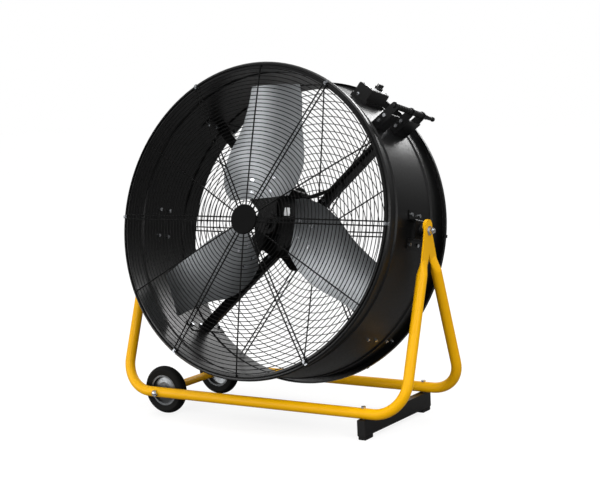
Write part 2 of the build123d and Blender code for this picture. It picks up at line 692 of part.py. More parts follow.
def motor_housing():
    """Finned housing between the two covers, without the windings and the rotor."""
    low, high = MOTOR_BODY_Y
    body = along("Y", MOTOR_R - FIN_D, low, high, MOTOR_BORE_R)
    fin = Box(FIN_D + 1, high - low, FIN_W, align=(Align.MIN,) * 3)
    fin = Pos(MOTOR_R - FIN_D - 1, low, -FIN_W / 2) * fin
    for n in range(MOTOR_FINS):
        body += around((n + 0.5) * 360 / MOTOR_FINS, fin)
    return body


def motor_cover(front):
    """Domed cover with a bearing seat; the front one lets the shaft through."""
    low, high = MOTOR_BODY_Y
    s = -1 if front else 1
    joint = low if front else high
    end = MOTOR_FRONT_Y if front else MOTOR_BACK_Y
    depth = abs(end - joint)
    rim = MOTOR_R - FIN_D / 2
    bore = SHAFT_R + RUN if front else SHAFT_R + 1
    seat = BEARING_R + SEAT
    nose = BEARING_R + MOTOR_COVER_NOSE
    shoulder = rim - depth * 0.55
    outline = [(seat, 0), (rim, 0), (rim, depth * 0.15), (shoulder, depth * 0.7), (nose, depth),
               (0 if not front else bore, depth), (0 if not front else bore, BEARING_W + SEAT),
               (seat, BEARING_W + SEAT)]
    return Pos(0, joint, 0) * spun([(r, s * y) for r, y in outline])


def motor_bearings():
    low, high = MOTOR_BODY_Y
    front = along("Y", BEARING_R, low - BEARING_W, low, SHAFT_R + RUN)
    rear = along("Y", BEARING_R, high, high + BEARING_W, SHAFT_R + RUN)
    return group([front, rear])


def terminal_box():
    """Box on the motor's side where the supply cable ends, with a gland towards the rear."""
    width, length, height = TERMINAL_BOX
    box = Box(height, length, width, align=(Align.MIN, Align.CENTER, Align.CENTER))
    box = fillet(box.edges().filter_by(Axis.Y).group_by(Axis.X)[-1], 5)
    box = Pos(MOTOR_R + SEAT, sum(MOTOR_BODY_Y) / 2, 0) * box
    return around(TERMINAL_ANGLE, box)


def motor_cable():
    """Supply cable, tied along the upper right strut from the terminal box to the drum's wall."""
    points = CABLE_ROUTE
    path = FilletPolyline(*points, radius=CABLE_BEND)
    section = Plane(origin=path @ 0, z_dir=path % 0) * Circle(CABLE_R)
    return sweep(section, path=path)


def drum_point(angle, radius, y, shift=0.0):
    a = radians(angle)
    return (radius * cos(a) - shift * sin(a), y, radius * sin(a) + shift * cos(a))


CABLE_Y = STRUT_Y - CABLE_R - SEAT
TERMINAL_MID_Y = sum(MOTOR_BODY_Y) / 2
TERMINAL_MID_R = MOTOR_R + SEAT + TERMINAL_BOX[2] / 2
CABLE_WALL_R = SHELL_IN_R - CABLE_WALL_GAP
CABLE_ROUTE = (
    drum_point(TERMINAL_ANGLE, TERMINAL_MID_R, TERMINAL_MID_Y, -TERMINAL_BOX[0] / 2),
    drum_point(TERMINAL_ANGLE, TERMINAL_MID_R, TERMINAL_MID_Y, -TERMINAL_BOX[0] / 2 - 28),
    drum_point(STRUT_ANGLES[0], 166, CABLE_Y, CABLE_SHIFT),
    drum_point(STRUT_ANGLES[0], CABLE_WALL_R, CABLE_Y, CABLE_SHIFT),
    drum_point(BOX_ANGLE, CABLE_WALL_R, CABLE_EXIT_Y),
    drum_point(BOX_ANGLE, SHELL_R + 3, CABLE_EXIT_Y),
)


# ---------------------------------------------------------------- propeller
def blade_law(radius):
    """Edges and pitch of the blade at a radius: a smooth curve through the stations."""
    rows = BLADE_SECTIONS
    n = max(k for k in range(len(rows) - 1) if radius >= rows[k][0] or k == 0)
    low, high = rows[n], rows[n + 1]
    span = high[0] - low[0]
    t = (radius - low[0]) / span

    def slope(k, column):
        near, far = rows[max(k - 1, 0)], rows[min(k + 1, len(rows) - 1)]
        return (far[column] - near[column]) / (far[0] - near[0])

    def value(column):
        return (
            (1 + 2 * t) * (1 - t) ** 2 * low[column] + t * (1 - t) ** 2 * span * slope(n, column)
            + t * t * (3 - 2 * t) * high[column] + t * t * (t - 1) * span * slope(n + 1, column)
        )

    return tuple(value(column) for column in (1, 2, 3))


def blade_arc(radius):
    """The cambered section at a radius: a function from a share of the chord and a distance behind
    the blade's middle surface to a place in the plane across the radius."""
    left, right, pitch = blade_law(radius)
    slope = tan(radians(pitch))
    a = Vector(left, HUB_Y + left * slope)
    b = Vector(right, HUB_Y + right * slope)
    chord = (b - a).length
    rise = BLADE_CAMBER * chord
    bow = (chord ** 2 / 4 + rise ** 2) / (2 * rise)
    along_chord = (b - a).normalized()
    rearward = Vector(-along_chord.Y, along_chord.X)
    centre = (a + b) * 0.5 - rearward * (bow - rise)
    swing = asin(chord / 2 / bow)

    def point(share, behind=0.0):
        angle = (2 * share - 1) * swing
        reach = bow + behind
        return centre + along_chord * (reach * sin(angle)) + rearward * (reach * cos(angle))

    return point


def blade_point(radius, share):
    """The place on the blade's middle surface at a radius and a share of the chord."""
    place = blade_arc(radius)(share)
    return Vector(place.X, place.Y, radius)


def blade_section(radius, start, end, offset, thickness):
    """A strip of the blade's section between two shares of the chord, at an offset behind it."""
    point = blade_arc(radius)
    near, far = offset - thickness / 2, offset + thickness / 2
    mid = (start + end) / 2
    outline = (
        ThreePointArc(point(start, near), point(mid, near), point(end, near))
        + Line(point(end, near), point(end, far))
        + ThreePointArc(point(end, far), point(mid, far), point(start, far))
        + Line(point(start, far), point(start, near))
    )
    return Pos(0, 0, radius) * make_face(outline)


def blade(angle):
    """Wide pressed blade, drawn pointing up: a loft through cambered sections, trimmed at the tip."""
    paddle = loft([blade_section(r, 0, 1, 0, BLADE_T) for r in BLADE_RADII])
    paddle &= along("Y", TIP_R, HUB_Y - RIM_R, HUB_Y + RIM_R)
    for radius, share in RIVET_AT:
        paddle -= rivet_shape(radius, share, RIVET_R + BOLT_PLAY, RIVET_HOLE, RIVET_HOLE)
    return around(angle - 90, paddle)


def rivet_shape(radius, share, r, front, back):
    """A round pin square to the blade, from a distance in front of it to a distance behind it."""
    across = blade_point(radius, share + 0.01) - blade_point(radius, share - 0.01)
    outward = blade_point(radius + 1, share) - blade_point(radius - 1, share)
    place = Plane(origin=blade_point(radius, share), x_dir=across, z_dir=outward.cross(across))
    return place * Pos(0, 0, -front) * extrude(Circle(r), amount=front + back)


def propeller_hub():
    """Cast hub: a boss on the shaft and three arms that lie against the backs of the blades."""
    gap = BLADE_T / 2 + SPIDER_SEAT + SPIDER_T / 2
    hub = along("Y", PROP_HUB_R, HUB_MIDDLE - PROP_HUB_LEN / 2, HUB_MIDDLE + PROP_HUB_LEN / 2)
    neck_pitch = BLADE_SECTIONS[0][3]
    for angle in BLADE_ANGLES:
        pad = loft([blade_section(r, *SPIDER_SHARES, gap, SPIDER_T) for r in SPIDER_RADII])
        inner = blade_section(SPIDER_RADII[0], *SPIDER_SHARES, gap, SPIDER_T)
        root = Pos(0, HUB_MIDDLE, PROP_HUB_R / 2) * Rot(0, 0, neck_pitch) * Rectangle(NECK_W, NECK_T)
        neck = loft([root.face(), inner.face()], ruled=True)
        arm = pad + neck
        for radius, share in RIVET_AT:
            arm -= rivet_shape(radius, share, RIVET_R + BOLT_PLAY, RIVET_HOLE, RIVET_HOLE)
        hub += around(angle - 90, arm)
    hub -= along("Y", SHAFT_R + RUN, HUB_MIDDLE - PROP_HUB_LEN, HUB_MIDDLE + PROP_HUB_LEN)
    return hub


def blade_rivets():
    """Rivets through the blades and the arms behind them, with a low head on both sides."""
    front = BLADE_T / 2 + RIVET_SEAT
    back = BLADE_T / 2 + SPIDER_SEAT + SPIDER_T + RIVET_SEAT
    rivets = []
    for angle in BLADE_ANGLES:
        for radius, share in RIVET_AT:
            pin = rivet_shape(radius, share, RIVET_R, front, back)
            heads = rivet_shape(radius, share, RIVET_HEAD_R, front + RIVET_HEAD_T, -front)
            heads += rivet_shape(radius, share, RIVET_HEAD_R, -back, back + RIVET_HEAD_T)
            rivets.append(around(angle - 90, pin + heads))
    return group(rivets)


def motor_shaft():
    front = HUB_MIDDLE - PROP_HUB_LEN / 2 - HUB_NUT_T - 4
    return along("Y", SHAFT_R, front, MOTOR_BODY_Y[1] + BEARING_W)


def hub_nut():
    seat = HUB_MIDDLE - PROP_HUB_LEN / 2 - SEAT
    nut = hexagon("Y", HUB_NUT_FLATS, seat - HUB_NUT_T, seat)
    return nut - along("Y", SHAFT_R + RUN, seat - HUB_NUT_T, seat)


# ---------------------------------------------------------------- control box, drawn at the right side
BOX_SEAT_R = SHELL_R + BOX_BASE_T
BOX_MIDDLE_Y = sum(BOX_Y) / 2
BOX_LENGTH = BOX_Y[1] - BOX_Y[0]


def at_box(shape):
    return around(BOX_ANGLE, shape)


def control_box_base():
    """Saddle that fits the drum's curve, with a hole for the motor's cable."""
    width = BOX_W + 2 * BOX_LIP
    base = Box(BOX_BASE_T * 2, BOX_LENGTH, width, align=(Align.MAX, Align.CENTER, Align.CENTER))
    base = Pos(BOX_SEAT_R, BOX_MIDDLE_Y, 0) * base
    base -= along("Y", SHELL_R + SEAT, *BOX_Y)
    base -= Pos(0, CABLE_EXIT_Y, 0) * along("X", GROMMET_R, SHELL_R - BOX_BASE_T, BOX_SEAT_R)
    return at_box(base)


def control_box_cover():
    """Moulded cover: rounded top, a lip along both long sides, and a hole for the switch spindle."""
    depth = BOX_TOP_R - BOX_SEAT_R
    low = (Align.MIN, Align.CENTER, Align.CENTER)
    cover = Pos(BOX_SEAT_R, BOX_MIDDLE_Y, 0) * Box(depth, BOX_LENGTH, BOX_W, align=low)
    cover = fillet(cover.edges().filter_by(Axis.Y).group_by(Axis.X)[-1], BOX_ROUND)
    hollow = Box(depth - BOX_WALL, BOX_LENGTH - 2 * BOX_WALL, BOX_W - 2 * BOX_WALL, align=low)
    cover -= Pos(BOX_SEAT_R, BOX_MIDDLE_Y, 0) * hollow
    lip = Box(BOX_LIP_T, BOX_LENGTH, BOX_W + 2 * BOX_LIP, align=low)
    lip -= Box(BOX_LIP_T, BOX_LENGTH, BOX_W, align=low)
    cover += Pos(BOX_SEAT_R, BOX_MIDDLE_Y, 0) * lip
    stem_hole = along("X", KNOB_STEM_R + BOLT_PLAY, BOX_TOP_R - 2 * BOX_WALL, BOX_TOP_R + 1)
    cover -= Pos(0, KNOB_Y, 0) * stem_hole
    gland_hole = along("Y", GLAND_THREAD_R + SEAT, BOX_Y[1] - 2 * BOX_WALL, BOX_Y[1] + 1)
    cover -= Pos(BOX_TOP_R - depth / 2, 0, 0) * gland_hole
    return at_box(cover)


def rotary_switch():
    """Switch body under the cover's top wall, with a blind bore for the knob's spindle."""
    top = BOX_TOP_R - BOX_WALL - SEAT
    body = Box(*SWITCH_BODY, align=(Align.MAX, Align.CENTER, Align.CENTER))
    body = Pos(top, KNOB_Y, 0) * body
    body -= Pos(0, KNOB_Y, 0) * along("X", KNOB_STEM_R + RUN, top - SPINDLE_DEPTH - 1, top)
    return at_box(body)


def switch_spindle():
    end = BOX_TOP_R + FACE_GAP + KNOB_H / 2
    start = BOX_TOP_R - BOX_WALL - SEAT - SPINDLE_DEPTH
    return at_box(Pos(0, KNOB_Y, 0) * along("X", KNOB_STEM_R, start, end))


def switch_knob():
    """Round knob with a skirt and a grip bar across its face that points to the setting."""
    low = BOX_TOP_R + FACE_GAP
    skirt = KNOB_H * 0.45
    knob = along("X", KNOB_R, low, low + skirt)
    knob = chamfer(knob.edges().filter_by(GeomType.CIRCLE).group_by(Axis.X)[-1], 1.5)
    bar = Box(KNOB_H - skirt, KNOB_R * 1.9, KNOB_R * 0.62, align=(Align.MIN, Align.CENTER, Align.CENTER))
    bar = Pos(low + skirt, 0, 0) * bar
    bar = fillet(bar.edges().group_by(Axis.X)[-1], 2.5)
    knob += bar
    knob -= along("X", KNOB_STEM_R + RUN, low, low + KNOB_H / 2 + RUN)
    return at_box(Pos(0, KNOB_Y, 0) * knob)


def cable_gland():
    """Gland in the box's rear wall: a threaded neck, a hexagon and a round dome nut, bored for a cable."""
    wall = BOX_Y[1]
    gland = along("Y", GLAND_THREAD_R, wall - BOX_WALL - 4, wall)
    gland += hexagon("Y", 2 * GLAND_R, wall, wall + GLAND_HEX_T)
    nut = along("Y", GLAND_R - 1, wall + GLAND_HEX_T, wall + GLAND_LEN)
    gland += fillet(nut.edges().filter_by(GeomType.CIRCLE).group_by(Axis.Y)[-1], 3)
    gland -= along("Y", GLAND_BORE, wall - BOX_WALL - 5, wall + GLAND_LEN + 1)
    return at_box(Pos((BOX_TOP_R + BOX_SEAT_R) / 2, 0, 0) * gland)


# ---------------------------------------------------------------- handle, drawn at the right side
def at_handle(shape):
    return around(HANDLE_ANGLE, shape)


def handle_bracket(span, flanges):
    """Bent sheet that stands on the drum: flanges with an eye for the bar, joined by a web."""
    low, high = HANDLE_Z
    eye = Pos(HANDLE_R, 0) * Circle(HANDLE_EYE_R)
    root = Pos(SHELL_R + 6, (low + high) / 2) * Rectangle(30, high - low)
    outline = make_hull(eye.edges() + root.edges())
    flange = extrude(Plane.XZ * outline, amount=-HANDLE_SHEET)
    web = Box(HANDLE_R - HANDLE_WEB_TOP, span[1] - span[0], HANDLE_SHEET, align=(Align.MIN,) * 3)
    bracket = Pos(0, span[0], low) * web
    for y in flanges:
        bracket += Pos(0, y, 0) * flange
    bracket -= along("Y", SHELL_R + SEAT, *span)
    bracket -= Pos(HANDLE_R, 0, 0) * along("Y", HANDLE_BAR_R + SEAT, *span)
    for r, z in handle_bolt_places():
        bracket -= Pos(r, 0, z) * along("Y", SHELL_BOLT_R + BOLT_PLAY, span[0], span[0] + HANDLE_SHEET)
    return at_handle(bracket)


def handle_bolt_places():
    middle = (HANDLE_Z[0] + HANDLE_SHEET + HANDLE_Z[1]) / 2
    return [(SHELL_R + rise, middle) for rise in HANDLE_BOLT_RISES]


def handle_feet():
    """Angle pieces: one leg curved to the drum and screwed to it, the other bolted to a flange."""
    low, high = HANDLE_Z[0] + HANDLE_SHEET + SEAT, HANDLE_Z[1]
    inner = SHELL_R + SEAT
    feet = []
    for span in (HANDLE_FRONT, HANDLE_REAR):
        face = span[0] + HANDLE_SHEET
        foot = curved_plate(inner, inner + HANDLE_FOOT_T, face, face + HANDLE_FOOT_L, low, high)
        foot += curved_plate(inner, SHELL_R + HANDLE_LEG_H, face, face + HANDLE_FOOT_T, low, high)
        for r, z in handle_bolt_places():
            foot -= Pos(r, 0, z) * along("Y", SHELL_BOLT_R + BOLT_PLAY, face, face + HANDLE_FOOT_T)
        foot = at_handle(foot)
        feet.append(foot - shell_hole(HANDLE_FOOT_ANGLE, face + HANDLE_SCREW_Y, SHELL_BOLT_R + BOLT_PLAY))
    return group(feet)


def handle_bolts():
    """Bolts through flanges and feet along the drum's axis, and screws into the drum's wall."""
    pieces = []
    for span in (HANDLE_FRONT, HANDLE_REAR):
        seat = span[0]
        back = seat + HANDLE_SHEET + HANDLE_FOOT_T
        for r, z in handle_bolt_places():
            screw = bolt("Y", SHELL_BOLT_R, SHELL_BOLT_FLATS, seat, -SHELL_BOLT_HEAD, back + SHELL_NUT_T + 3)
            nut = hexagon("Y", SHELL_BOLT_FLATS, back, back + SHELL_NUT_T)
            nut -= along("Y", SHELL_BOLT_R + RUN, back, back + SHELL_NUT_T)
            pieces += [at_handle(Pos(r, 0, z) * piece) for piece in (screw, nut)]
    for y in HANDLE_SCREW_PLACES:
        outer = SHELL_R + HANDLE_FOOT_T + 2 * SEAT
        pieces += shell_bolt(HANDLE_FOOT_ANGLE, y, outer, SHELL_IN_R - SEAT, 6)
    return group(pieces)


def handle_bar():
    """Round bar through the eyes; behind the rear bracket it is stepped and ends in a ball."""
    start = HANDLE_FRONT[0] - 6
    rear = HANDLE_REAR[1] + FACE_GAP
    outline = [(0, start), (HANDLE_BAR_R - 1, start), (HANDLE_BAR_R, start + 1), (HANDLE_BAR_R, rear)]
    y = rear
    for length, radius in BAR_STEPS:
        outline += [(radius, y), (radius, rear + length)]
        y = rear + length
    outline += [(HANDLE_BAR_R - 1, y), (HANDLE_BAR_R - 1, HANDLE_BALL_Y), (0, HANDLE_BALL_Y)]
    bar = spun(outline) + Pos(0, HANDLE_BALL_Y, 0) * Sphere(HANDLE_BALL_R)
    return at_handle(Pos(HANDLE_R, 0, 0) * bar)


def handle_grip():
    """Rubber sleeves on the bar: one with collars up to the rear bracket, a plain one inside it."""
    start = HANDLE_FRONT[0] + HANDLE_SHEET + FACE_GAP
    end = HANDLE_REAR[0] - FACE_GAP
    inner = HANDLE_BAR_R + SEAT
    waist = GRIP_R - GRIP_WAIST
    outline = [(inner, start)]
    y = start
    for _ in range(GRIP_COLLARS):
        outline += [(GRIP_R, y), (GRIP_R, y + GRIP_COLLAR_W), (waist, y + GRIP_COLLAR_W)]
        y += 2 * GRIP_COLLAR_W
        outline.append((waist, y))
    outline += [(GRIP_R, y), (GRIP_R, end), (inner, end)]
    near = HANDLE_REAR[0] + HANDLE_SHEET + FACE_GAP
    far = HANDLE_REAR[1] - HANDLE_SHEET - FACE_GAP
    sleeves = [spun(outline), along("Y", GRIP_R, near, far, inner)]
    return group(at_handle(Pos(HANDLE_R, 0, 0) * sleeve) for sleeve in sleeves)


# ---------------------------------------------------------------- write the pieces
def main():
    os.makedirs("parts", exist_ok=True)

    def keep(name, shape):
        export_step(shape, f"parts/{name}.step")

    keep("front_frame_tube", frame_tube(-1))
    keep("rear_frame_tube", frame_tube(1))
    keep("axle_cross_tube", axle_cross_tube())
    keep("wheel_axle", wheel_axle())
    keep("axle_nuts", axle_nuts())
    keep("foot_beam", foot_beam())
    keep("foot_beam_end_caps", foot_beam_end_caps())
    keep("rubber_feet", rubber_feet())
    keep("foot_beam_bolts", foot_beam_bolts())
    for side, name in ((-1, "front"), (1, "rear")):
        keep(f"{name}_tyre", tyre(side))
        keep(f"{name}_wheel_rim", wheel_rim(side))
        keep(f"{name}_wheel_hub", wheel_hub(side))
    keep("pivot_bolts", pivot_bolts())
    keep("pivot_spacers", pivot_spacers())
    keep("pivot_washers", pivot_washers())
    keep("pivot_nuts", pivot_nuts())

    keep("drum_shell", on_drum(drum_shell()))
    keep("right_trunnion_bracket", on_drum(trunnion_bracket(1)))
    keep("left_trunnion_bracket", on_drum(trunnion_bracket(-1)))
    keep("trunnion_bolts", on_drum(trunnion_bolts()))
    keep("front_grille", on_drum(grille(-1)))
    keep("rear_grille", on_drum(grille(1)))
    keep("grille_badge", on_drum(grille_badge()))
    keep("front_grille_clips", on_drum(grille_clips(-1)))
    keep("rear_grille_clips", on_drum(grille_clips(1)))
    for angle, name in zip(STRUT_ANGLES, STRUT_NAMES):
        keep(f"{name}_motor_strut", on_drum(motor_strut(angle)))
    keep("strut_foot_bolts", on_drum(strut_foot_bolts()))
    keep("motor_mount_plate", on_drum(motor_mount_plate()))
    keep("strut_plate_bolts", on_drum(strut_plate_bolts()))
    keep("motor_housing", on_drum(motor_housing()))
    keep("motor_front_cover", on_drum(motor_cover(True)))
    keep("motor_rear_cover", on_drum(motor_cover(False)))
    keep("motor_bearings", on_drum(motor_bearings()))
    keep("terminal_box", on_drum(terminal_box()))
    keep("motor_cable", on_drum(motor_cable()))
    for n, angle in enumerate(BLADE_ANGLES, 1):
        keep(f"blade_{n}", on_drum(blade(angle)))
    keep("propeller_hub", on_drum(propeller_hub()))
    keep("blade_rivets", on_drum(blade_rivets()))
    keep("motor_shaft", on_drum(motor_shaft()))
    keep("hub_nut", on_drum(hub_nut()))
    keep("control_box_base", on_drum(control_box_base()))
    keep("control_box_cover", on_drum(control_box_cover()))
    keep("rotary_switch", on_drum(rotary_switch()))
    keep("switch_spindle", on_drum(switch_spindle()))
    keep("switch_knob", on_drum(switch_knob()))
    keep("cable_gland", on_drum(cable_gland()))
    front_flange = HANDLE_FRONT[0]
    rear_flanges = (HANDLE_REAR[0], HANDLE_REAR[1] - HANDLE_SHEET)
    keep("front_handle_bracket", on_drum(handle_bracket(HANDLE_FRONT, (front_flange,))))
    keep("rear_handle_bracket", on_drum(handle_bracket(HANDLE_REAR, rear_flanges)))
    keep("handle_feet", on_drum(handle_feet()))
    keep("handle_bolts", on_drum(handle_bolts()))
    keep("handle_bar", on_drum(handle_bar()))
    keep("handle_grip", on_drum(handle_grip()))


main()
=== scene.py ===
# %% [markdown]
# # Dressing a drum fan
# A drum fan is a steel drum with a wire guard over each end and a wide propeller inside, on a stand of
# bent tube.  The CAD model already holds every part that carries load or moves, at its real size.  This
# lesson gives it the finishes of the real fan, and adds what a CAD model leaves plain: every ring of the
# guards, screw heads, threads, cable ties, the marks round the switch.
#
# Blender could model all of it from scratch, but then nothing would fit the CAD.  So the CAD comes in
# first as a fixed frame, and every new piece takes its place from it.

# %% Load the fixed frame
import json
import math

import bpy
from mathutils import Matrix, Vector


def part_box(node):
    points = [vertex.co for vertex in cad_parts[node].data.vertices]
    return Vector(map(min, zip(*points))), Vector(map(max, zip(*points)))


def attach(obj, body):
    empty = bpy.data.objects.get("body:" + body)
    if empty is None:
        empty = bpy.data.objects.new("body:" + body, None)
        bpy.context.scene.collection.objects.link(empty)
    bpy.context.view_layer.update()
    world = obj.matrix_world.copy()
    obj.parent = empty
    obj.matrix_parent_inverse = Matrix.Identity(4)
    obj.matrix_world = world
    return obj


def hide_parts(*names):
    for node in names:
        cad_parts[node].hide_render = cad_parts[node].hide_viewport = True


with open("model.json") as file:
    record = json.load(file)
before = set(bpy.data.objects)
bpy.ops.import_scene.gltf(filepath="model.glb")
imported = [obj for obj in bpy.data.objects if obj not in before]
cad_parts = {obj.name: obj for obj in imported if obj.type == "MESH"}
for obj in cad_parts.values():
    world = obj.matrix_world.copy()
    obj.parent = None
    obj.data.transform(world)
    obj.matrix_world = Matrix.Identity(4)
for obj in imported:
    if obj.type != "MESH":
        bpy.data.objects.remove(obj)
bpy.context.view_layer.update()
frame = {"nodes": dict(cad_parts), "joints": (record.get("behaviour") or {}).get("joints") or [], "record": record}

# %% [markdown]
# ## Two measuring habits
# The CAD was drawn in millimetres and Blender works in metres, so one constant turns one into the other.
# The drum leans back on its pivots.  Its pieces are far easier to place in a frame that leans with it:
# X to the fan's right, Y along the drum towards the rear, Z up, origin on the tilt axis.  The joints of
# the CAD model say where that axis is and which way the propeller looks, so nothing is typed twice.

# %% The drum's own frame
MM = 0.001


def joint(name):
    return next(j for j in frame["joints"] if j["name"] == name)


pivot = Vector(joint("drum_tilt")["pos_m"])
across = Vector((1, 0, 0))
rearward = -Vector(joint("propeller_spin")["axis"]).normalized()
drum = Matrix.Translation(pivot) @ Matrix((across, rearward, across.cross(rearward))).transposed().to_4x4()
tilt = math.degrees(math.asin(-rearward.z))
print("pivot height", round(pivot.z, 3), "m, the drum leans back", round(tilt, 1), "degrees")

# %% [markdown]
# A place on the drum is told by three numbers: how far from the axis, at what angle round it
# (anticlockwise seen from the front, from the fan's right), and how far back along it.

# %% Places round the drum


def on_drum(radius, angle, back):
    """A place in the drum's frame, from millimetres and degrees to a vector in the scene."""
    turn = math.radians(angle)
    return drum @ (Vector((radius * math.cos(turn), back, radius * math.sin(turn))) * MM)


def outward(angle):
    """The direction away from the axis at an angle."""
    turn = math.radians(angle)
    return drum.to_3x3() @ Vector((math.cos(turn), 0, math.sin(turn)))


def facing(place, axis, clock=None):
    """A matrix that puts a shape's origin at a place, its Z along an axis and its X near clock."""
    z = axis.normalized()
    x = (clock or z.orthogonal()).normalized()
    y = z.cross(x).normalized()
    return Matrix.Translation(place) @ Matrix((y.cross(z), y, z)).transposed().to_4x4()


print("top of the drum's axis frame", tuple(round(v, 3) for v in on_drum(100, 90, 0)))

# %% [markdown]
# ## Colours
# A paint maker gives colours as sRGB hex values, the numbers that a screen shows.  Light adds up in
# linear values, so the shader needs those.  One function does the change for every colour here.

# %% From hex to linear


def linear(code):
    """An sRGB hex colour as linear red, green, blue and alpha."""
    channels = [int(code[n:n + 2], 16) / 255 for n in (1, 3, 5)]
    return tuple(c / 12.92 if c <= 0.04045 else ((c + 0.055) / 1.055) ** 2.4 for c in channels) + (1.0,)


print("the stand's yellow", [round(c, 3) for c in linear("#E8AC00")])

# %% [markdown]
# ## One helper for every node
# A shader is a graph.  Adding a node means making it, setting its options, filling its sockets and
# linking others.  One small function does that for any kind of node, so a material reads as a list.

# %% Add a node


def add(tree, kind, inputs=None, **options):
    """Add a node, set its options, and fill its sockets with values or links."""
    node = tree.nodes.new(kind)
    for name, value in options.items():
        setattr(node, name, value)
    for name, value in (inputs or {}).items():
        if isinstance(value, bpy.types.NodeSocket):
            tree.links.new(value, node.inputs[name])
        else:
            node.inputs[name].default_value = value
    return node


def per_metre(size):
    """The scale of a pattern whose features are a size in millimetres."""
    return 1 / (size * MM)


MIX_FACTOR, MIX_A, MIX_B, MIX_RESULT = 0, 6, 7, 2      # a colour mix node's sockets, by number

print("a 2 mm pattern has scale", per_metre(2))

# %% [markdown]
# Every finish starts the same way: a principled shader with the typical colour, metalness, roughness and
# refractive index of the real thing.  A metal keeps the shader's own refractive index.  A clean, polished
# resin mirrors what its index says, and the shader's specular level of 0.5 stands for that.  A real coat
# has a fine texture and a film of dust that swallow part of it, so most finishes here go below 0.5.
# Patterns use object coordinates, which are metres and ride with the piece.

# %% Start a finish


def start_finish(name, colour, roughness, metallic=0.0, ior=None, specular=0.5):
    """A new material with its shader's own sockets set; gives it, its tree, shader and coordinates."""
    material = bpy.data.materials.new(name)
    material.use_nodes = True
    tree = material.node_tree
    shader = tree.nodes["Principled BSDF"]
    shader.inputs["Base Color"].default_value = linear(colour)
    shader.inputs["Roughness"].default_value = roughness
    shader.inputs["Metallic"].default_value = metallic
    shader.inputs["Specular IOR Level"].default_value = specular
    if ior:
        shader.inputs["IOR"].default_value = ior
    where = add(tree, "ShaderNodeTexCoord").outputs["Object"]
    return material, tree, shader, where


def vary_colour(tree, shader, where, light, dark, size):
    """Drift between two near colours over patches of a size in millimetres."""
    patches = add(tree, "ShaderNodeTexNoise", {"Vector": where, "Scale": per_metre(size), "Detail": 3.0})
    mix = add(tree, "ShaderNodeMix", {MIX_FACTOR: patches.outputs["Fac"], MIX_A: linear(dark),
                                      MIX_B: linear(light)}, data_type="RGBA")
    tree.links.new(mix.outputs[MIX_RESULT], shader.inputs["Base Color"])
    return patches


NOISE_LOW, NOISE_HIGH = 0.3, 0.7     # nearly all values of a noise texture lie between these


def vary_roughness(tree, shader, pattern, low, high):
    """Let a pattern move the roughness between two values."""
    span = add(tree, "ShaderNodeMapRange", {"Value": pattern, "From Min": NOISE_LOW, "From Max": NOISE_HIGH,
                                            "To Min": low, "To Max": high})
    tree.links.new(span.outputs["Result"], shader.inputs["Roughness"])


def raise_surface(tree, shader, height, depth):
    """Bump the surface by a pattern, as deep as a number of millimetres."""
    bump = add(tree, "ShaderNodeBump", {"Height": height, "Distance": depth * MM, "Strength": 1.0})
    tree.links.new(bump.outputs["Normal"], shader.inputs["Normal"])


print("finishes start from the shader's own sockets")

# %% [markdown]
# ## Powder coat
# The stand and the drum are powder coated: dry resin baked into one thick skin.  It flows a little before
# it sets, which leaves a fine orange peel, so its reflections are soft and slightly broken.  Resin has a
# refractive index of about 1.5.  The peel's cells are 1 to 2 mm wide, finer than the whole view can show,
# so a second, wider wave of 7 mm stands for it from afar.

# %% Powder coat, yellow and black


def powder_coat(name, colour, deeper, roughness, peel, specular):
    material, tree, shader, where = start_finish(name, colour, roughness, ior=1.5, specular=specular)
    vary_colour(tree, shader, where, colour, deeper, size=90)
    cells = add(tree, "ShaderNodeTexNoise", {"Vector": where, "Scale": per_metre(1.6), "Detail": 2.0})
    wave = add(tree, "ShaderNodeTexNoise", {"Vector": where, "Scale": per_metre(7), "Detail": 1.0})
    both = add(tree, "ShaderNodeMath", {0: cells.outputs["Fac"], 1: wave.outputs["Fac"]}, operation="ADD")
    vary_roughness(tree, shader, wave.outputs["Fac"], roughness - 0.04, roughness + 0.04)
    raise_surface(tree, shader, both.outputs["Value"], peel)
    return material


yellow_powder = powder_coat("powder_coated_steel_yellow", "#E8AC00", "#E2A500", 0.42, 0.03, 0.15)
black_powder = powder_coat("powder_coated_steel_black", "#0B0B0C", "#080808", 0.34, 0.03, 0.22)
print(yellow_powder.name, black_powder.name)

# %% [markdown]
# ## Dipped wire
# The guards are welded from drawn wire and then dipped in black enamel.  A dip leaves a thicker, rounder
# skin than powder does, with more gloss on top and slow runs along the wire.

# %% Dipped wire


def dipped_wire():
    material, tree, shader, where = start_finish("dip_enamelled_wire_black", "#060606", 0.3,
                                                 ior=1.5, specular=0.08)
    runs = vary_colour(tree, shader, where, "#070707", "#040404", size=25)
    vary_roughness(tree, shader, runs.outputs["Fac"], 0.24, 0.4)
    raise_surface(tree, shader, runs.outputs["Fac"], depth=0.1)
    return material


wire_enamel = dipped_wire()
print(wire_enamel.name)

# %% [markdown]
# ## Sprayed castings
# The motor's covers are cast aluminium under a thin coat of stoving enamel.  The grain of the sand mould
# shows through it as a close, shallow relief, and dulls it.

# %% Enamelled casting


def enamelled_casting():
    material, tree, shader, where = start_finish("stove_enamelled_casting_black", "#080808", 0.45,
                                                 ior=1.5, specular=0.14)
    grain = add(tree, "ShaderNodeTexNoise", {"Vector": where, "Scale": per_metre(1.2), "Detail": 4.0})
    vary_colour(tree, shader, where, "#0A0A0A", "#060606", size=18)
    vary_roughness(tree, shader, grain.outputs["Fac"], 0.38, 0.55)
    raise_surface(tree, shader, grain.outputs["Fac"], depth=0.12)
    return material


motor_enamel = enamelled_casting()
print(motor_enamel.name)

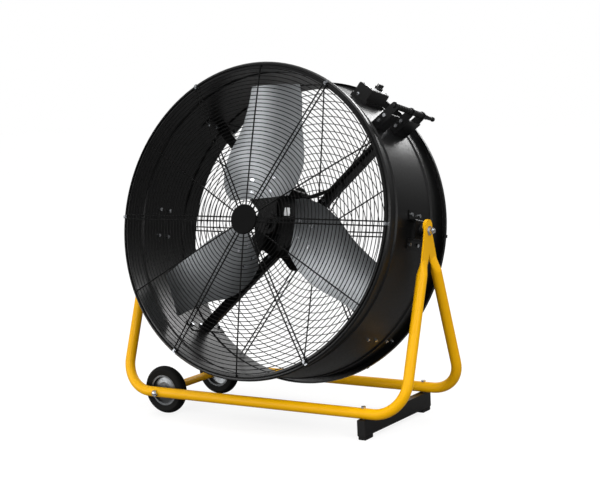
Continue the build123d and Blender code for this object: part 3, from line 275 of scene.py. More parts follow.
# %% [markdown]
# ## Zinc
# Screws, nuts and wheel rims are zinc plated.  Zinc is a cool grey metal, and a bright passivation leaves
# it nearly mirror like on a fastener, and cloudy in patches of a few millimetres on a pressed rim.  The
# guards' clips have been handled and have dulled, so they lie between the two.

# %% Zinc plate


def zinc_plate(name, colour, deeper, smooth, rough, patch):
    material, tree, shader, where = start_finish(name, colour, smooth, metallic=1.0)
    clouds = vary_colour(tree, shader, where, colour, deeper, patch)
    vary_roughness(tree, shader, clouds.outputs["Fac"], smooth, rough)
    scratches = add(tree, "ShaderNodeTexNoise", {"Vector": where, "Scale": per_metre(0.8), "Detail": 2.0})
    raise_surface(tree, shader, scratches.outputs["Fac"], depth=0.01)
    return material


bright_zinc = zinc_plate("bright_zinc_plated_steel", "#D8DADD", "#B9BCC1", 0.16, 0.3, 4)
rim_zinc = zinc_plate("zinc_plated_pressed_steel", "#76787A", "#606264", 0.34, 0.5, 9)
clip_zinc = zinc_plate("dulled_zinc_plated_steel", "#8C8E91", "#75777A", 0.24, 0.4, 4)
print(bright_zinc.name, rim_zinc.name, clip_zinc.name)

# %% [markdown]
# ## Mill finish aluminium
# The blades are cut from rolled aluminium sheet and left bare.  Rolling drags fine lines along the sheet,
# so light stretches across them into a broad, soft glow, and handling leaves faint cloudy patches.  The
# lines are about 0.2 mm apart, which no view from this far can show, so they are drawn 1.5 mm apart.
# Each blade is cut with the rolling lines along its length, so each one turns the pattern to its angle.

# %% Rolled aluminium
LINE_LENGTH, LINE_PITCH = 250, 1.5     # of the rolling lines, in millimetres


def rolled_sheet(name, angle):
    material, tree, shader, where = start_finish(name, "#808284", 0.4, metallic=1.0)
    aligned = add(tree, "ShaderNodeMapping", {"Vector": where, "Rotation": (0, math.radians(angle), 0)})
    stretch = (per_metre(LINE_LENGTH), per_metre(LINE_PITCH), per_metre(LINE_PITCH))
    drawn_out = add(tree, "ShaderNodeMapping", {"Vector": aligned.outputs["Vector"], "Scale": stretch})
    lines = add(tree, "ShaderNodeTexNoise", {"Vector": drawn_out.outputs["Vector"], "Scale": 1.0,
                                             "Detail": 3.0})
    vary_colour(tree, shader, where, "#878A8C", "#757779", size=60)
    vary_roughness(tree, shader, lines.outputs["Fac"], 0.34, 0.46)
    raise_surface(tree, shader, lines.outputs["Fac"], depth=0.02)
    return material


BLADE_ANGLES = {"blade_1": 100, "blade_2": 220, "blade_3": 340}
blade_sheet = {node: rolled_sheet(f"rolled_aluminium_{node}", angle)
               for node, angle in BLADE_ANGLES.items()}
print(len(blade_sheet), "sheets, one for each blade")

# %% [markdown]
# ## Moulded plastic and rubber
# The control box and the knob are moulded ABS.  The mould is spark eroded, which gives a close, dull
# grain.  Feet, grip and cable are soft compounds: darker, rougher, with hardly a highlight.  A tyre is
# filled with carbon black, which swallows nearly all light, so it is the dullest of the blacks.

# %% ABS and rubber


def moulded(name, colour, deeper, roughness, grain, relief, ior, specular=0.5):
    material, tree, shader, where = start_finish(name, colour, roughness, ior=ior, specular=specular)
    vary_colour(tree, shader, where, colour, deeper, size=30)
    pits = add(tree, "ShaderNodeTexNoise", {"Vector": where, "Scale": per_metre(grain), "Detail": 2.0})
    vary_roughness(tree, shader, pits.outputs["Fac"], roughness - 0.05, roughness + 0.05)
    raise_surface(tree, shader, pits.outputs["Fac"], relief)
    return material


abs_black = moulded("moulded_abs_black", "#0C0C0C", "#090909", 0.42, 0.9, 0.04, 1.54, 0.25)
soft_black = moulded("moulded_rubber_black", "#0C0C0C", "#090909", 0.68, 1.2, 0.05, 1.52, 0.25)
tyre_black = moulded("carbon_filled_tyre_rubber", "#0E0E0D", "#0A0A09", 0.74, 1.6, 0.08, 1.52, 0.15)
badge_black = moulded("matt_moulded_disc_black", "#080808", "#060606", 0.7, 0.8, 0.03, 1.54, 0.06)
print(abs_black.name, soft_black.name, tyre_black.name, badge_black.name)

# %% [markdown]
# ## Print and foil
# The ring of settings round the switch is screen printed on a foil: satin grey plastic with dark ink.
# The same foil, left bare, makes the small plate on the motor.

# %% Foil and ink
foil_grey = moulded("satin_polyester_foil_grey", "#D9DADB", "#CFD0D1", 0.32, 2.5, 0.01, 1.57)
ink_dark = moulded("screen_print_ink_dark", "#1A1A1C", "#151517", 0.5, 0.6, 0.01, 1.5)
ink_white = moulded("pad_print_ink_white", "#E8E8E6", "#DDDDDB", 0.45, 0.6, 0.01, 1.5)
print(foil_grey.name, ink_dark.name, ink_white.name)

# %% [markdown]
# ## Give every CAD part its finish
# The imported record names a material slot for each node.  A dictionary from slot to finish is enough for
# nearly all of them, and a second one holds the few nodes that differ from their slot.

# %% Dress the nodes
finish_of_slot = {
    "yellow_paint": yellow_powder,
    "black_powder_coat": black_powder,
    "grille_wire_coat": wire_enamel,
    "black_motor_paint": motor_enamel,
    "bright_zinc": bright_zinc,
    "wheel_zinc": rim_zinc,
    "black_plastic": abs_black,
    "black_rubber": soft_black,
    "tyre_rubber": tyre_black,
}
finish_of_node = dict(blade_sheet, propeller_hub=motor_enamel, hub_nut=motor_enamel,
                      motor_shaft=motor_enamel, grille_badge=badge_black, front_grille_clips=clip_zinc)
slot_of = {part["node"]: part["material_slot"] for part in frame["record"]["subparts"]}
for node, piece in frame["nodes"].items():
    finish = finish_of_node[node] if node in finish_of_node else finish_of_slot[slot_of[node]]
    piece.data.materials.clear()
    piece.data.materials.append(finish)
print("dressed", len(frame["nodes"]), "nodes,", len(finish_of_node), "of them by name")

# %% [markdown]
# ## Shapes one by one
# New pieces are small: turned heads, wires, plates.  A turned shape is an outline spun round an axis, and
# the same spin with six steps makes a hexagon.  Shapes stay lists of points and faces until they are
# placed, so one head can be copied to every hole of a pattern and kept as one piece.

# %% Turned shapes


def turned(outline, steps=32):
    """Spin an outline of (radius, height) in millimetres round Z; radius 0 closes an end."""
    points, faces, rings = [], [], []
    for radius, height in outline:
        ring = []
        for n in range(steps if radius else 1):
            turn = 2 * math.pi * n / steps
            ring.append(len(points))
            points.append(Vector((radius * math.cos(turn), radius * math.sin(turn), height)) * MM)
        rings.append(ring)
    for low, high in zip(rings, rings[1:]):
        for n in range(steps):
            corners = [low[n % len(low)], low[(n + 1) % len(low)],
                       high[(n + 1) % len(high)], high[n % len(high)]]
            faces.append(list(dict.fromkeys(corners)))
    return points, [face for face in faces if len(face) > 2]


def placed(shape, matrix):
    """A shape moved to its place."""
    points, faces = shape
    return [matrix @ p for p in points], faces


def joined(shapes):
    """Several shapes as one list of points and faces."""
    points, faces = [], []
    for some_points, some_faces in shapes:
        start = len(points)
        points += some_points
        faces += [[start + n for n in face] for face in some_faces]
    return points, faces


print("a six step spin has", len(turned([(5, 0), (5, 4), (0, 4)], 6)[1]), "faces")

# %% [markdown]
# A shape becomes a piece when it gets a name, a finish and a body to ride on.  Edges sharper than 40
# degrees stay sharp, and all others are shaded smooth.

# %% Make a piece
CREASE = math.radians(40)


def finished(piece, body, finish):
    """Link an object, dress it, and say what it rides on."""
    bpy.context.collection.objects.link(piece)
    piece.data.materials.append(finish)
    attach(piece, body)
    return piece


def make_piece(name, shape, body, finish):
    mesh = bpy.data.meshes.new(name)
    points, faces = shape
    mesh.from_pydata(points, [], faces)
    mesh.validate()
    mesh.shade_smooth()
    mesh.set_sharp_from_angle(angle=CREASE)
    return finished(bpy.data.objects.new(name, mesh), body, finish)


print("creases from", round(math.degrees(CREASE)), "degrees up")

# %% [markdown]
# ## The wire guards
# Each guard is a dome of concentric rings, welded on round spokes.  The front rings are 12 mm apart so
# that no finger passes.  The rear ones lie twice as far apart, because there the blades are far away.  Six
# of the spokes are double: one long wire bent back on itself round the clip.  A wire is a line with a
# thickness, which is exactly what a bevelled curve is.  Modelling the rings as a mesh would work too, but
# a Bezier circle stays four points, and one curve object holds the whole guard.

# %% Sizes of the guards
RIM_FACE = 179.5             # from the drum's middle plane to a rim's flat face
GUARD_R = 470                # outer ring
GUARD_HUB_R = 43             # inner ring, behind the badge
GUARD_DOME = 20              # rise of the dome
FRONT_RINGS, REAR_RINGS = 36, 18
SPOKE_WIRE = 4.4             # thickness of a spoke and of the outer ring
RING_WIRE = 2.6              # thickness of the other rings
SPOKE_PAIR = 13              # between the two wires of a double spoke
DOUBLE_SPOKES = 6
SPOKE_POINTS = 12            # points along a spoke, so that it follows the dome
BEND_STEPS = 8               # steps of a double spoke's bend
CIRCLE_HANDLE = 4 / 3 * (math.sqrt(2) - 1)     # handle length of a quarter circle, for radius 1


def dome(radius):
    """Rise of the guard at a radius, from the rim's face."""
    return GUARD_DOME * (1 - (radius / GUARD_R) ** 2)


print("ring pitch", [round((GUARD_R - GUARD_HUB_R) / n, 1) for n in (FRONT_RINGS, REAR_RINGS)], "mm")

# %% [markdown]
# The curve's bevel is as thick as a spoke.  A ring is thinner, and gets there by its points' own radius,
# so both wires can live in the same curve.

# %% Bend the wires


def add_ring(curve, side, radius, back, wire):
    """A closed Bezier circle round the drum's axis."""
    spline = curve.splines.new("BEZIER")
    spline.bezier_points.add(3)
    spline.use_cyclic_u = True
    for n, point in enumerate(spline.bezier_points):
        here = on_drum(radius, 90 * n, side * back)
        along = (on_drum(radius, 90 * n + 90, side * back) - on_drum(0, 0, side * back)) * CIRCLE_HANDLE
        point.co = here
        point.handle_left = here - along
        point.handle_right = here + along
        point.radius = wire / SPOKE_WIRE


def add_wire(curve, places):
    """An open wire through places."""
    spline = curve.splines.new("POLY")
    spline.points.add(len(places) - 1)
    for point, place in zip(spline.points, places):
        point.co = (*place, 1.0)


def spoke_places(side, angle, shift, radii):
    """A spoke's line: at each radius it follows the dome, shifted sideways from the spoke's middle."""
    turn = math.radians(angle)
    places = []
    for radius in radii:
        x = radius * math.cos(turn) - shift * math.sin(turn)
        z = radius * math.sin(turn) + shift * math.cos(turn)
        back = side * (RIM_FACE + dome(radius) + SPOKE_WIRE / 2)
        places.append(drum @ (Vector((x, back, z)) * MM))
    return places


def guard_wires(name, side, node, rings):
    curve = bpy.data.curves.new(name, "CURVE")
    curve.dimensions = "3D"
    curve.bevel_depth = SPOKE_WIRE / 2 * MM
    curve.bevel_resolution = 2
    curve.resolution_u = 30
    width = GUARD_R - GUARD_HUB_R
    for n in range(rings):
        radius = GUARD_HUB_R + n * width / rings
        add_ring(curve, side, radius, RIM_FACE + dome(radius) + SPOKE_WIRE, RING_WIRE)
    add_ring(curve, side, GUARD_R, RIM_FACE + SPOKE_WIRE / 2, SPOKE_WIRE)
    bend = SPOKE_PAIR / 2
    run = [GUARD_HUB_R + n * width / SPOKE_POINTS for n in range(SPOKE_POINTS)] + [GUARD_R - bend]
    for n in range(DOUBLE_SPOKES):
        angle = n * 360 / DOUBLE_SPOKES
        out = spoke_places(side, angle, bend, run)
        turn_back = []
        for step in range(1, BEND_STEPS):
            swing = math.pi * step / BEND_STEPS
            reach = GUARD_R - bend + bend * math.sin(swing)
            turn_back += spoke_places(side, angle, bend * math.cos(swing), [reach])
        home = spoke_places(side, angle, -bend, run[::-1])
        add_wire(curve, out + turn_back + home)
        add_wire(curve, spoke_places(side, angle + 180 / DOUBLE_SPOKES, 0, run + [GUARD_R]))
    guard = finished(bpy.data.objects.new(name, curve), "drum", wire_enamel)
    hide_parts(node)
    return guard


guards = [guard_wires("front_guard_wires", -1, "front_grille", FRONT_RINGS),
          guard_wires("rear_guard_wires", 1, "rear_grille", REAR_RINGS)]
print("wires in the guards", [len(guard.data.splines) for guard in guards])

# %% [markdown]
# ## Clip screws
# A zinc clip holds the outer ring at each double spoke, with one hexagon screw.  The clip is CAD, and the
# screw is a spun outline in six steps with a round washer face under it.

# %% Screws on the guard clips
CLIP_TOP = 6.7               # a clip's outer face, from the rim's face
hex_head = joined([turned([(4.6, 0), (4.6, 0.6), (0, 0.6)]),
                   turned([(4.3, 0.4), (4.3, 3.2), (3.6, 3.8), (0, 3.8)], 6)])


def clip_screws(name, side, finish):
    heads = []
    for n in range(DOUBLE_SPOKES):
        angle = n * 360 / DOUBLE_SPOKES
        place = on_drum(GUARD_R, angle, side * (RIM_FACE + CLIP_TOP))
        heads.append(placed(hex_head, facing(place, rearward * side, outward(angle))))
    return make_piece(name, joined(heads), "drum", finish)


clip_screws("front_clip_screws", -1, clip_zinc)
clip_screws("rear_clip_screws", 1, black_powder)
print("screws on", 2 * DOUBLE_SPOKES, "clips")

# %% [markdown]
# ## Threads
# The pivot bolts and the axle end in a short bare thread past their nuts.  A true helix is hardly worth
# its faces here: parallel grooves at the thread's pitch look the same, so the outline is a zigzag.

# %% Threads past the nuts


def thread(radius, length, pitch):
    """A stack of grooves along Z with a bevelled end."""
    outline = [(radius - 0.5, 0)]
    for n in range(int(length / pitch)):
        outline += [(radius + 0.25, (n + 0.3) * pitch), (radius - 0.1, (n + 0.8) * pitch)]
    return turned(outline + [(radius - 0.8, length + 0.3), (0, length + 0.3)])


def end_of(node, axis, sign):
    """The middle of a node's end face along an axis, at its high or low side."""
    low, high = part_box(node)
    place = (Vector(low) + Vector(high)) / 2
    place[axis] = (high if sign > 0 else low)[axis]
    return place


X_AXIS, Y_AXIS = 0, 1
PIVOT_BOLT_R, PIVOT_THREAD, PIVOT_PITCH = 6.0, 5.6, 1.4
AXLE_R, AXLE_THREAD, AXLE_PITCH = 6.0, 3.6, 1.2
pivot_threads, axle_threads = [], []
for sign in (-1, 1):
    outer = end_of("pivot_bolts", X_AXIS, sign)
    way = Vector((sign, 0, 0))
    start = facing(outer - way * PIVOT_THREAD * MM, way)
    pivot_threads.append(placed(thread(PIVOT_BOLT_R, PIVOT_THREAD, PIVOT_PITCH), start))
    outer = end_of("wheel_axle", Y_AXIS, sign)
    way = Vector((0, sign, 0))
    start = facing(outer - way * AXLE_THREAD * MM, way)
    axle_threads.append(placed(thread(AXLE_R, AXLE_THREAD, AXLE_PITCH), start))
make_piece("pivot_bolt_threads", joined(pivot_threads), "frame", bright_zinc)
make_piece("axle_end_threads", joined(axle_threads), "frame", bright_zinc)
print("threads at", len(pivot_threads) + len(axle_threads), "ends")

# %% [markdown]
# ## The control box
# A foil with the settings lies round the switch: 0, 1 and 2 for off and two speeds.  It is 0.18 mm thick,
# because the knob turns only 0.3 mm above the cover, and it has a hole so that the spindle turns free.
# All marks are drawn in the dial's own plane: X towards the fan's front, Y clockwise round the drum, Z out.

# %% Foil round the switch
BOX_ANGLE, BOX_TOP_R, BOX_MIDDLE = 57.2, 510, 33.5
KNOB_BACK, KNOB_R, KNOB_TOP = 52, 13.5, 18.3
FOIL_HALF_X, FOIL_HALF_Y = 48.5, 20.0
FOIL_HOLE_R = 5
FOIL_LOW, FOIL_TOP = 0.02, 0.18     # its two faces, above the cover
RAYS = 36


def on_dial(x, y, out=0.0):
    """The dial's frame moved to a place in its plane, in millimetres from the knob's axis."""
    plane = facing(on_drum(BOX_TOP_R, BOX_ANGLE, KNOB_BACK), outward(BOX_ANGLE), -rearward)
    return plane @ Matrix.Translation(Vector((x, y, out)) * MM)


def foil_shape():
    """A rectangle with a round hole, joined edge to edge along rays from the hole's middle."""
    middle = KNOB_BACK - BOX_MIDDLE
    edges = (middle - FOIL_HALF_X, middle + FOIL_HALF_X)
    corners = [math.atan2(y, x) for x in edges for y in (-FOIL_HALF_Y, FOIL_HALF_Y)]
    rays = sorted([2 * math.pi * n / RAYS - math.pi for n in range(RAYS)] + corners)
    points, faces = [], []
    for ray in rays:
        c, s = math.cos(ray), math.sin(ray)
        reach = min((edges[1] if c > 0 else edges[0]) / c if abs(c) > 1e-6 else 1e6,
                    FOIL_HALF_Y / abs(s) if abs(s) > 1e-6 else 1e6)
        for radius, height in ((FOIL_HOLE_R, FOIL_LOW), (FOIL_HOLE_R, FOIL_TOP),
                               (reach, FOIL_TOP), (reach, FOIL_LOW)):
            points.append(Vector((radius * c, radius * s, height)) * MM)
    for n in range(len(rays)):
        near, far = 4 * n, 4 * ((n + 1) % len(rays))
        for k in range(4):
            faces.append([near + k, far + k, far + (k + 1) % 4, near + (k + 1) % 4])
    return points, faces


make_piece("switch_dial_foil", placed(foil_shape(), on_dial(0, 0)), "drum", foil_grey)
print("foil of", 2 * FOIL_HALF_X, "by", 2 * FOIL_HALF_Y, "mm")

# %% [markdown]
# A printed figure is a line with a width.  Each point of the line is split sideways in two, square to the
# way the line runs there, and the pairs are joined to a band.

# %% Figures and marks
PRINT_HEIGHT = 0.22                 # of the ink above the cover
MARK_STEP = 45                      # degrees between two settings
MARK_NEAR, MARK_FAR = 1, 3          # ends of a mark, from the knob's edge
FIGURE_OUT = (6.5, 6.5, 5.0)        # middle of each figure, from the knob's edge
FIGURE_LIMIT = 17.6                 # keeps the last figure on the foil
MARK_LINE, FIGURE_LINE, PANEL_LINE = 0.7, 0.6, 0.5
PANEL_X, PANEL_Y = (44, 64.5), 17   # an empty printed box at the foil's front end


def band(path, width):
    """A flat band along a path of (x, y) millimetres, just above the foil."""
    line = [Vector((x, y, 0)) for x, y in path]
    points = []
    for n, here in enumerate(line):
        run = (line[min(n + 1, len(line) - 1)] - line[max(n - 1, 0)]).normalized()
        side = Vector((-run.y, run.x, 0)) * width / 2
        for edge in (here - side, here + side):
            points.append((edge + Vector((0, 0, PRINT_HEIGHT))) * MM)
    return points, [[k, k + 2, k + 3, k + 1] for k in range(0, 2 * len(line) - 2, 2)]


def arc(x, y, across_r, along_r, start, end, steps=14):
    """Points of an ellipse's arc; angles in degrees, from the right, anticlockwise."""
    turns = [math.radians(start + (end - start) * n / steps) for n in range(steps + 1)]
    return [(x + across_r * math.cos(t), y + along_r * math.sin(t)) for t in turns]


FIGURES = {
    "0": [arc(0, 0, 1.3, 2.2, 0, 360)],
    "1": [[(-0.8, 1.3), (0.2, 2.2), (0.2, -2.2)]],
    "2": [arc(0, 0.9, 1.3, 1.3, 160, -40) + [(-1.4, -2.1), (1.5, -2.1)]],
}


def upright(path):
    """Turn a figure so that it reads from the fan's front: its right is clockwise, its top is rearward."""
    return [(-y, x) for x, y in path]


printed = []
for n, (figure, out) in enumerate(zip("012", FIGURE_OUT)):
    turn = math.radians(MARK_STEP * n)
    ray = (math.cos(turn), math.sin(turn))
    mark = [(ray[0] * r, ray[1] * r) for r in (KNOB_R + MARK_NEAR, KNOB_R + MARK_FAR)]
    printed.append(placed(band(mark, MARK_LINE), on_dial(0, 0)))
    reach = KNOB_R + out
    spot = on_dial(ray[0] * reach, min(ray[1] * reach, FIGURE_LIMIT))
    for path in FIGURES[figure]:
        printed.append(placed(band(upright(path), FIGURE_LINE), spot))
near_x, far_x = PANEL_X
panel = [(near_x, -PANEL_Y), (far_x, -PANEL_Y), (far_x, PANEL_Y), (near_x, PANEL_Y), (near_x, -PANEL_Y)]
printed.append(placed(band(panel, PANEL_LINE), on_dial(0, 0)))
make_piece("switch_dial_print", joined(printed), "drum", ink_dark)
print("figures", "".join(FIGURES), "and three marks")

# %% [markdown]
# The knob carries a white line along its grip and down its front end, so that its setting shows from the
# side as well.  It rides on the knob and turns with it.

# %% Pointer line
KNOB_NOSE = KNOB_R * 0.95     # front end of the grip
LINE_LIFT = 0.12              # of the line off the knob
LINE_HALF = 0.8               # half its width
line_path = [(1.0, KNOB_TOP + LINE_LIFT), (KNOB_NOSE - 2.2, KNOB_TOP + LINE_LIFT),
             (KNOB_NOSE - 0.7, KNOB_TOP - 0.6), (KNOB_NOSE + LINE_LIFT, KNOB_TOP - 2.4),
             (KNOB_NOSE + LINE_LIFT, KNOB_TOP - 7.0)]
line_points = []
for x, out in line_path:
    for y in (-LINE_HALF, LINE_HALF):
        line_points.append(Vector((x, y, out)) * MM)
line_faces = [[k, k + 2, k + 3, k + 1] for k in range(0, len(line_points) - 2, 2)]
pointer = placed((line_points, line_faces), on_dial(0, 0))
make_piece("knob_pointer_line", pointer, "knob", ink_white)
print("pointer of", len(line_faces), "faces")

# %% [markdown]
# ## Screws that hold the covers
# The box's cover has a pan head screw near each corner of its foil, and a hexagon screw with a washer in
# its front wall holds the earth lead.  The motor's front cover is held by four through bolts.

# %% Cover screws
pan_head = turned([(2.9, 0), (2.9, 0.5), (2.3, 1.3), (1.1, 1.7), (1.0, 1.0), (0, 1.0)], 24)
CORNER_X, CORNER_Y = 44, 16      # from the middle of the cover to a corner screw
SCREW_SEAT = 0.15                # a head sits a little way into the foil
corner_screws = []
for x in (KNOB_BACK - BOX_MIDDLE - CORNER_X, KNOB_BACK - BOX_MIDDLE + CORNER_X):
    for y in (-CORNER_Y, CORNER_Y):
        corner_screws.append(placed(pan_head, on_dial(x, y, SCREW_SEAT)))
make_piece("box_cover_screws", joined(corner_screws), "drum", black_powder)

BOX_FRONT = -18
SCREW_R, SCREW_ANGLE = 476, 58.5
washer_and_head = joined([turned([(4.8, 0), (4.8, 1.0), (0, 1.0)]),
                          turned([(3.4, 1.0), (3.4, 3.4), (2.8, 3.9), (0, 3.9)], 6)])
screw_place = facing(on_drum(SCREW_R, SCREW_ANGLE, BOX_FRONT), -rearward)
make_piece("box_earth_screw", placed(washer_and_head, screw_place), "drum", bright_zinc)

COVER_BOLT_R, COVER_CONE_FACE = 70, -26.5
COVER_BOLT_ANGLES = (25, 115, 205, 295)
bolt_head = turned([(5.8, -1), (5.8, 3.6), (4.9, 4.4), (0, 4.4)], 6)
cover_bolts = []
for angle in COVER_BOLT_ANGLES:
    place = on_drum(COVER_BOLT_R, angle, COVER_CONE_FACE)
    cover_bolts.append(placed(bolt_head, facing(place, -rearward)))
make_piece("motor_cover_bolts", joined(cover_bolts), "drum", motor_enamel)
print("screws", len(corner_screws) + 1 + len(cover_bolts))

# %% [markdown]
# ## Bare plate
# A motor usually carries a plate.  This one is bare: a rounded sheet of satin foil on the front cover's
# cone, tipped as the cone is.

# %% Bare plate on the motor
PLATE_R, PLATE_ANGLE, PLATE_BACK = 56, 50, -30.6
PLATE_W, PLATE_L, PLATE_CORNER, PLATE_T = 20, 26, 2, 0.6
slope = math.radians(13)         # of the cover's cone
cone_out = outward(PLATE_ANGLE) * math.sin(slope) - rearward * math.cos(slope)
plate_place = facing(on_drum(PLATE_R, PLATE_ANGLE, PLATE_BACK), cone_out, across)


def slab(width, length, corner, low, high):
    """A plate with rounded corners, as a closed shape."""
    rim = []
    for n, (sx, sy) in enumerate(((1, 1), (-1, 1), (-1, -1), (1, -1))):
        x, y = sx * (width / 2 - corner), sy * (length / 2 - corner)
        rim += arc(x, y, corner, corner, 90 * n, 90 * n + 90, 4)
    points = [Vector((x, y, z)) * MM for z in (low, high) for x, y in rim]
    count = len(rim)
    sides = [[n, (n + 1) % count, count + (n + 1) % count, count + n] for n in range(count)]
    return points, sides + [list(range(count, 2 * count)), list(range(count))[::-1]]


bare_plate = placed(slab(PLATE_W, PLATE_L, PLATE_CORNER, 0, PLATE_T), plate_place)
make_piece("motor_bare_plate", bare_plate, "drum", foil_grey)
print("bare plate of", PLATE_W, "by", PLATE_L, "mm")

# %% [markdown]
# ## Cable ties
# The motor's cable is strapped to the front of a strut.  A tie is a flat nylon strap pulled round both.

# %% Ties round the strut
STRUT_ANGLE, STRUT_FRONT, STRUT_DEPTH, STRUT_HALF = 45, 90, 16, 16
CABLE_R, CABLE_SHIFT = 6, 8
TIE_T, TIE_W = 1.2, 4.6
TIE_SLACK, CABLE_SLACK = 0.4, 0.6      # gaps round the strut and in front of the cable
TIE_RADII = (210, 300, 390)


def tie(radius):
    """A strap round strut and cable at a radius, in a frame with X across the strut and Y rearward."""
    front = STRUT_FRONT - 2 * CABLE_R - CABLE_SLACK
    back = STRUT_FRONT + STRUT_DEPTH + TIE_SLACK
    half = STRUT_HALF + TIE_SLACK
    loop = [(-half, back), (half, back), (half, STRUT_FRONT - 1), (CABLE_SHIFT + 4.5, front + 1.6),
            (CABLE_SHIFT, front), (CABLE_SHIFT - 4.5, front + 1.6), (-half, STRUT_FRONT - 1)]
    here = facing(on_drum(radius, STRUT_ANGLE, 0), -outward(STRUT_ANGLE), outward(STRUT_ANGLE + 90))
    middle = Vector((sum(x for x, y in loop), sum(y for x, y in loop), 0)) / len(loop)
    points, faces = [], []
    for x, y in loop:
        out = (Vector((x, y, 0)) - middle).normalized() * TIE_T
        for grow, z in ((0, -TIE_W / 2), (1, -TIE_W / 2), (1, TIE_W / 2), (0, TIE_W / 2)):
            points.append(Vector((x + out.x * grow, y + out.y * grow, z)) * MM)
    count = len(loop)
    for n in range(count):
        near, far = 4 * n, 4 * ((n + 1) % count)
        faces += [[near + k, far + k, far + (k + 1) % 4, near + (k + 1) % 4] for k in range(4)]
    return placed((points, faces), here)


make_piece("cable_ties", joined([tie(radius) for radius in TIE_RADII]), "drum", abs_black)
print(len(TIE_RADII), "ties")

# %% [markdown]
# ## Room, light and camera
# The fan stands on white paper in a room that is dark near the floor and bright overhead.  Black paint
# shows hardly any colour of its own, only what it mirrors, so the room's brightness has to change with
# height.  A light path node lets the camera see plain white instead, and lamps add the highlights.

# %% White backdrop, dark room
CAMERA_RAY = "Is Camera Ray"
world = bpy.data.worlds.new("graded_room")
bpy.context.scene.world = world
world.use_nodes = True
backdrop = world.node_tree.nodes["Background"]
direction = add(world.node_tree, "ShaderNodeTexCoord").outputs["Generated"]
height = add(world.node_tree, "ShaderNodeSeparateXYZ", {"Vector": direction}).outputs["Z"]
graded = add(world.node_tree, "ShaderNodeMapRange",
             {"Value": height, "From Min": -0.04, "From Max": 0.6, "To Min": 0.05, "To Max": 1.0})
seen = add(world.node_tree, "ShaderNodeLightPath").outputs[CAMERA_RAY]
strength = add(world.node_tree, "ShaderNodeMath", {0: graded.outputs["Result"], 1: seen},
               operation="MAXIMUM")
world.node_tree.links.new(strength.outputs["Value"], backdrop.inputs["Strength"])
backdrop.inputs["Color"].default_value = (1.0, 1.0, 1.0, 1.0)
print("room graded from floor to ceiling")

# %% [markdown]
# A catalogue cut-out shows white paper, and yet no white is mirrored in the drum's dark lower half.  So
# the floor is mid grey to the fan and glows for the camera.  It runs into the white behind it, and keeps
# only the deepest shadow.  The lamps stand where the fan's highlights ask for them: above, before, to the
# right, low at the left, and behind, because the drum's inner wall mirrors what is behind it.

# %% Floor and lamps
FLOOR_GLOW = 0.82      # light that the floor gives to the camera alone
FLOOR_REACH = 14       # metres


def studio_floor():
    material, tree, shader, where = start_finish("studio_paper_white", "#787878", 0.9,
                                                 ior=1.45, specular=0.1)
    vary_colour(tree, shader, where, "#7A7A7A", "#767676", size=400)
    seen = add(tree, "ShaderNodeLightPath").outputs[CAMERA_RAY]
    glow = add(tree, "ShaderNodeMath", {0: seen, 1: FLOOR_GLOW}, operation="MULTIPLY")
    shader.inputs["Emission Color"].default_value = (1.0, 1.0, 1.0, 1.0)
    tree.links.new(glow.outputs["Value"], shader.inputs["Emission Strength"])
    mesh = bpy.data.meshes.new("studio_floor")
    corners = [(x * FLOOR_REACH, y * FLOOR_REACH, 0) for x, y in ((-1, -1), (1, -1), (1, 1), (-1, 1))]
    mesh.from_pydata(corners, [], [(0, 1, 2, 3)])
    floor = bpy.data.objects.new("studio_floor", mesh)
    floor.data.materials.append(material)
    bpy.context.collection.objects.link(floor)


def lamp(name, place, target, size, power):
    light = bpy.data.lights.new(name, "AREA")
    light.shape = "RECTANGLE"
    light.size, light.size_y = size
    light.energy = power
    holder = bpy.data.objects.new(name, light)
    holder.location = place
    holder.rotation_euler = (Vector(target) - Vector(place)).to_track_quat("-Z", "Y").to_euler()
    bpy.context.collection.objects.link(holder)


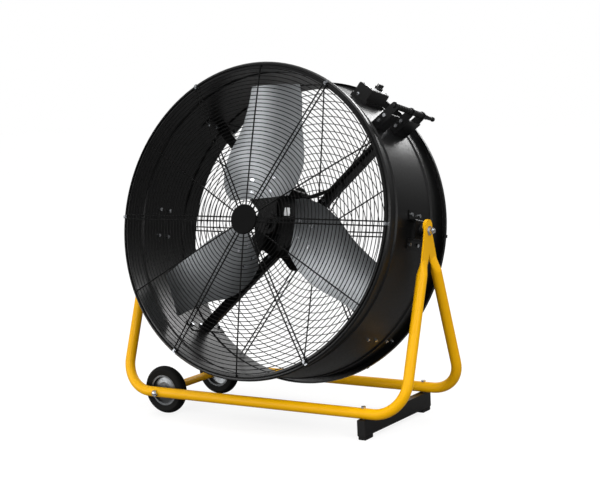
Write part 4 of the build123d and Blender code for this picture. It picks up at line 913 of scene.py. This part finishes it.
studio_floor()
lamp("overhead_lamp", (0.4, -0.4, 3.4), (0, -0.4, 0.6), (2.0, 1.6), 50)
lamp("front_lamp", (0.9, -4.2, 2.6), (0, 0, 0.6), (0.9, 1.6), 58)
lamp("low_front_left_lamp", (-2.7, -3.2, 0.7), (-0.5, -0.5, 0.1), (2.6, 1.2), 68)
lamp("right_lamp", (3.6, -1.6, 1.4), (0.4, 0, 0.3), (1.2, 1.2), 48)
lamp("rear_top_lamp", (0.1, 3.6, 2.3), (0.3, 0, 1.1), (1.8, 0.9), 50)
lamp("rear_left_lamp", (-1.9, 3.4, 1.1), (0, 0, 0.7), (1.8, 1.4), 6)
bpy.context.scene.view_settings.view_transform = "Standard"     # plain, hard contrast
print(len(bpy.data.lights), "lamps round white paper")

# %% [markdown]
# The photograph was taken from the front right, 4.7 metres from the pivot and a little above it.  The
# camera's place and angles were found by matching the two rims, the legs and the wheels.  The film is
# 600 by 500, and the focal length follows from the lens measured in its pixels.

# %% Camera
FILM_W = 600
FOCAL_PX = 1511.4
SENSOR_MM = 36
YAW, PITCH, ROLL = (math.radians(a) for a in (33.0, -7.6, -2.67))
CAMERA_PLACE = pivot + Vector((2.567, -3.856, 0.542))

ahead = Vector((-math.sin(YAW) * math.cos(PITCH), math.cos(YAW) * math.cos(PITCH), math.sin(PITCH)))
level = Vector((math.cos(YAW), math.sin(YAW), 0))
above = level.cross(ahead)
side_way = level * math.cos(ROLL) + above * math.sin(ROLL)
top_way = above * math.cos(ROLL) - level * math.sin(ROLL)
eye = bpy.data.cameras.new("camera")
eye.sensor_fit = "HORIZONTAL"
eye.sensor_width = SENSOR_MM
eye.lens = FOCAL_PX / FILM_W * SENSOR_MM
camera = bpy.data.objects.new("camera", eye)
aim = Matrix((side_way, top_way, -ahead)).transposed().to_4x4()
camera.matrix_world = Matrix.Translation(CAMERA_PLACE) @ aim
bpy.context.collection.objects.link(camera)
bpy.context.scene.camera = camera
print("lens", round(eye.lens, 1), "mm at", tuple(round(v, 2) for v in CAMERA_PLACE))

# %% [markdown]
# The dressed fan has to be as large as the CAD fan.  Last, the scene is brought up to date.

# %% Bring the scene up to date
bpy.context.view_layer.update()
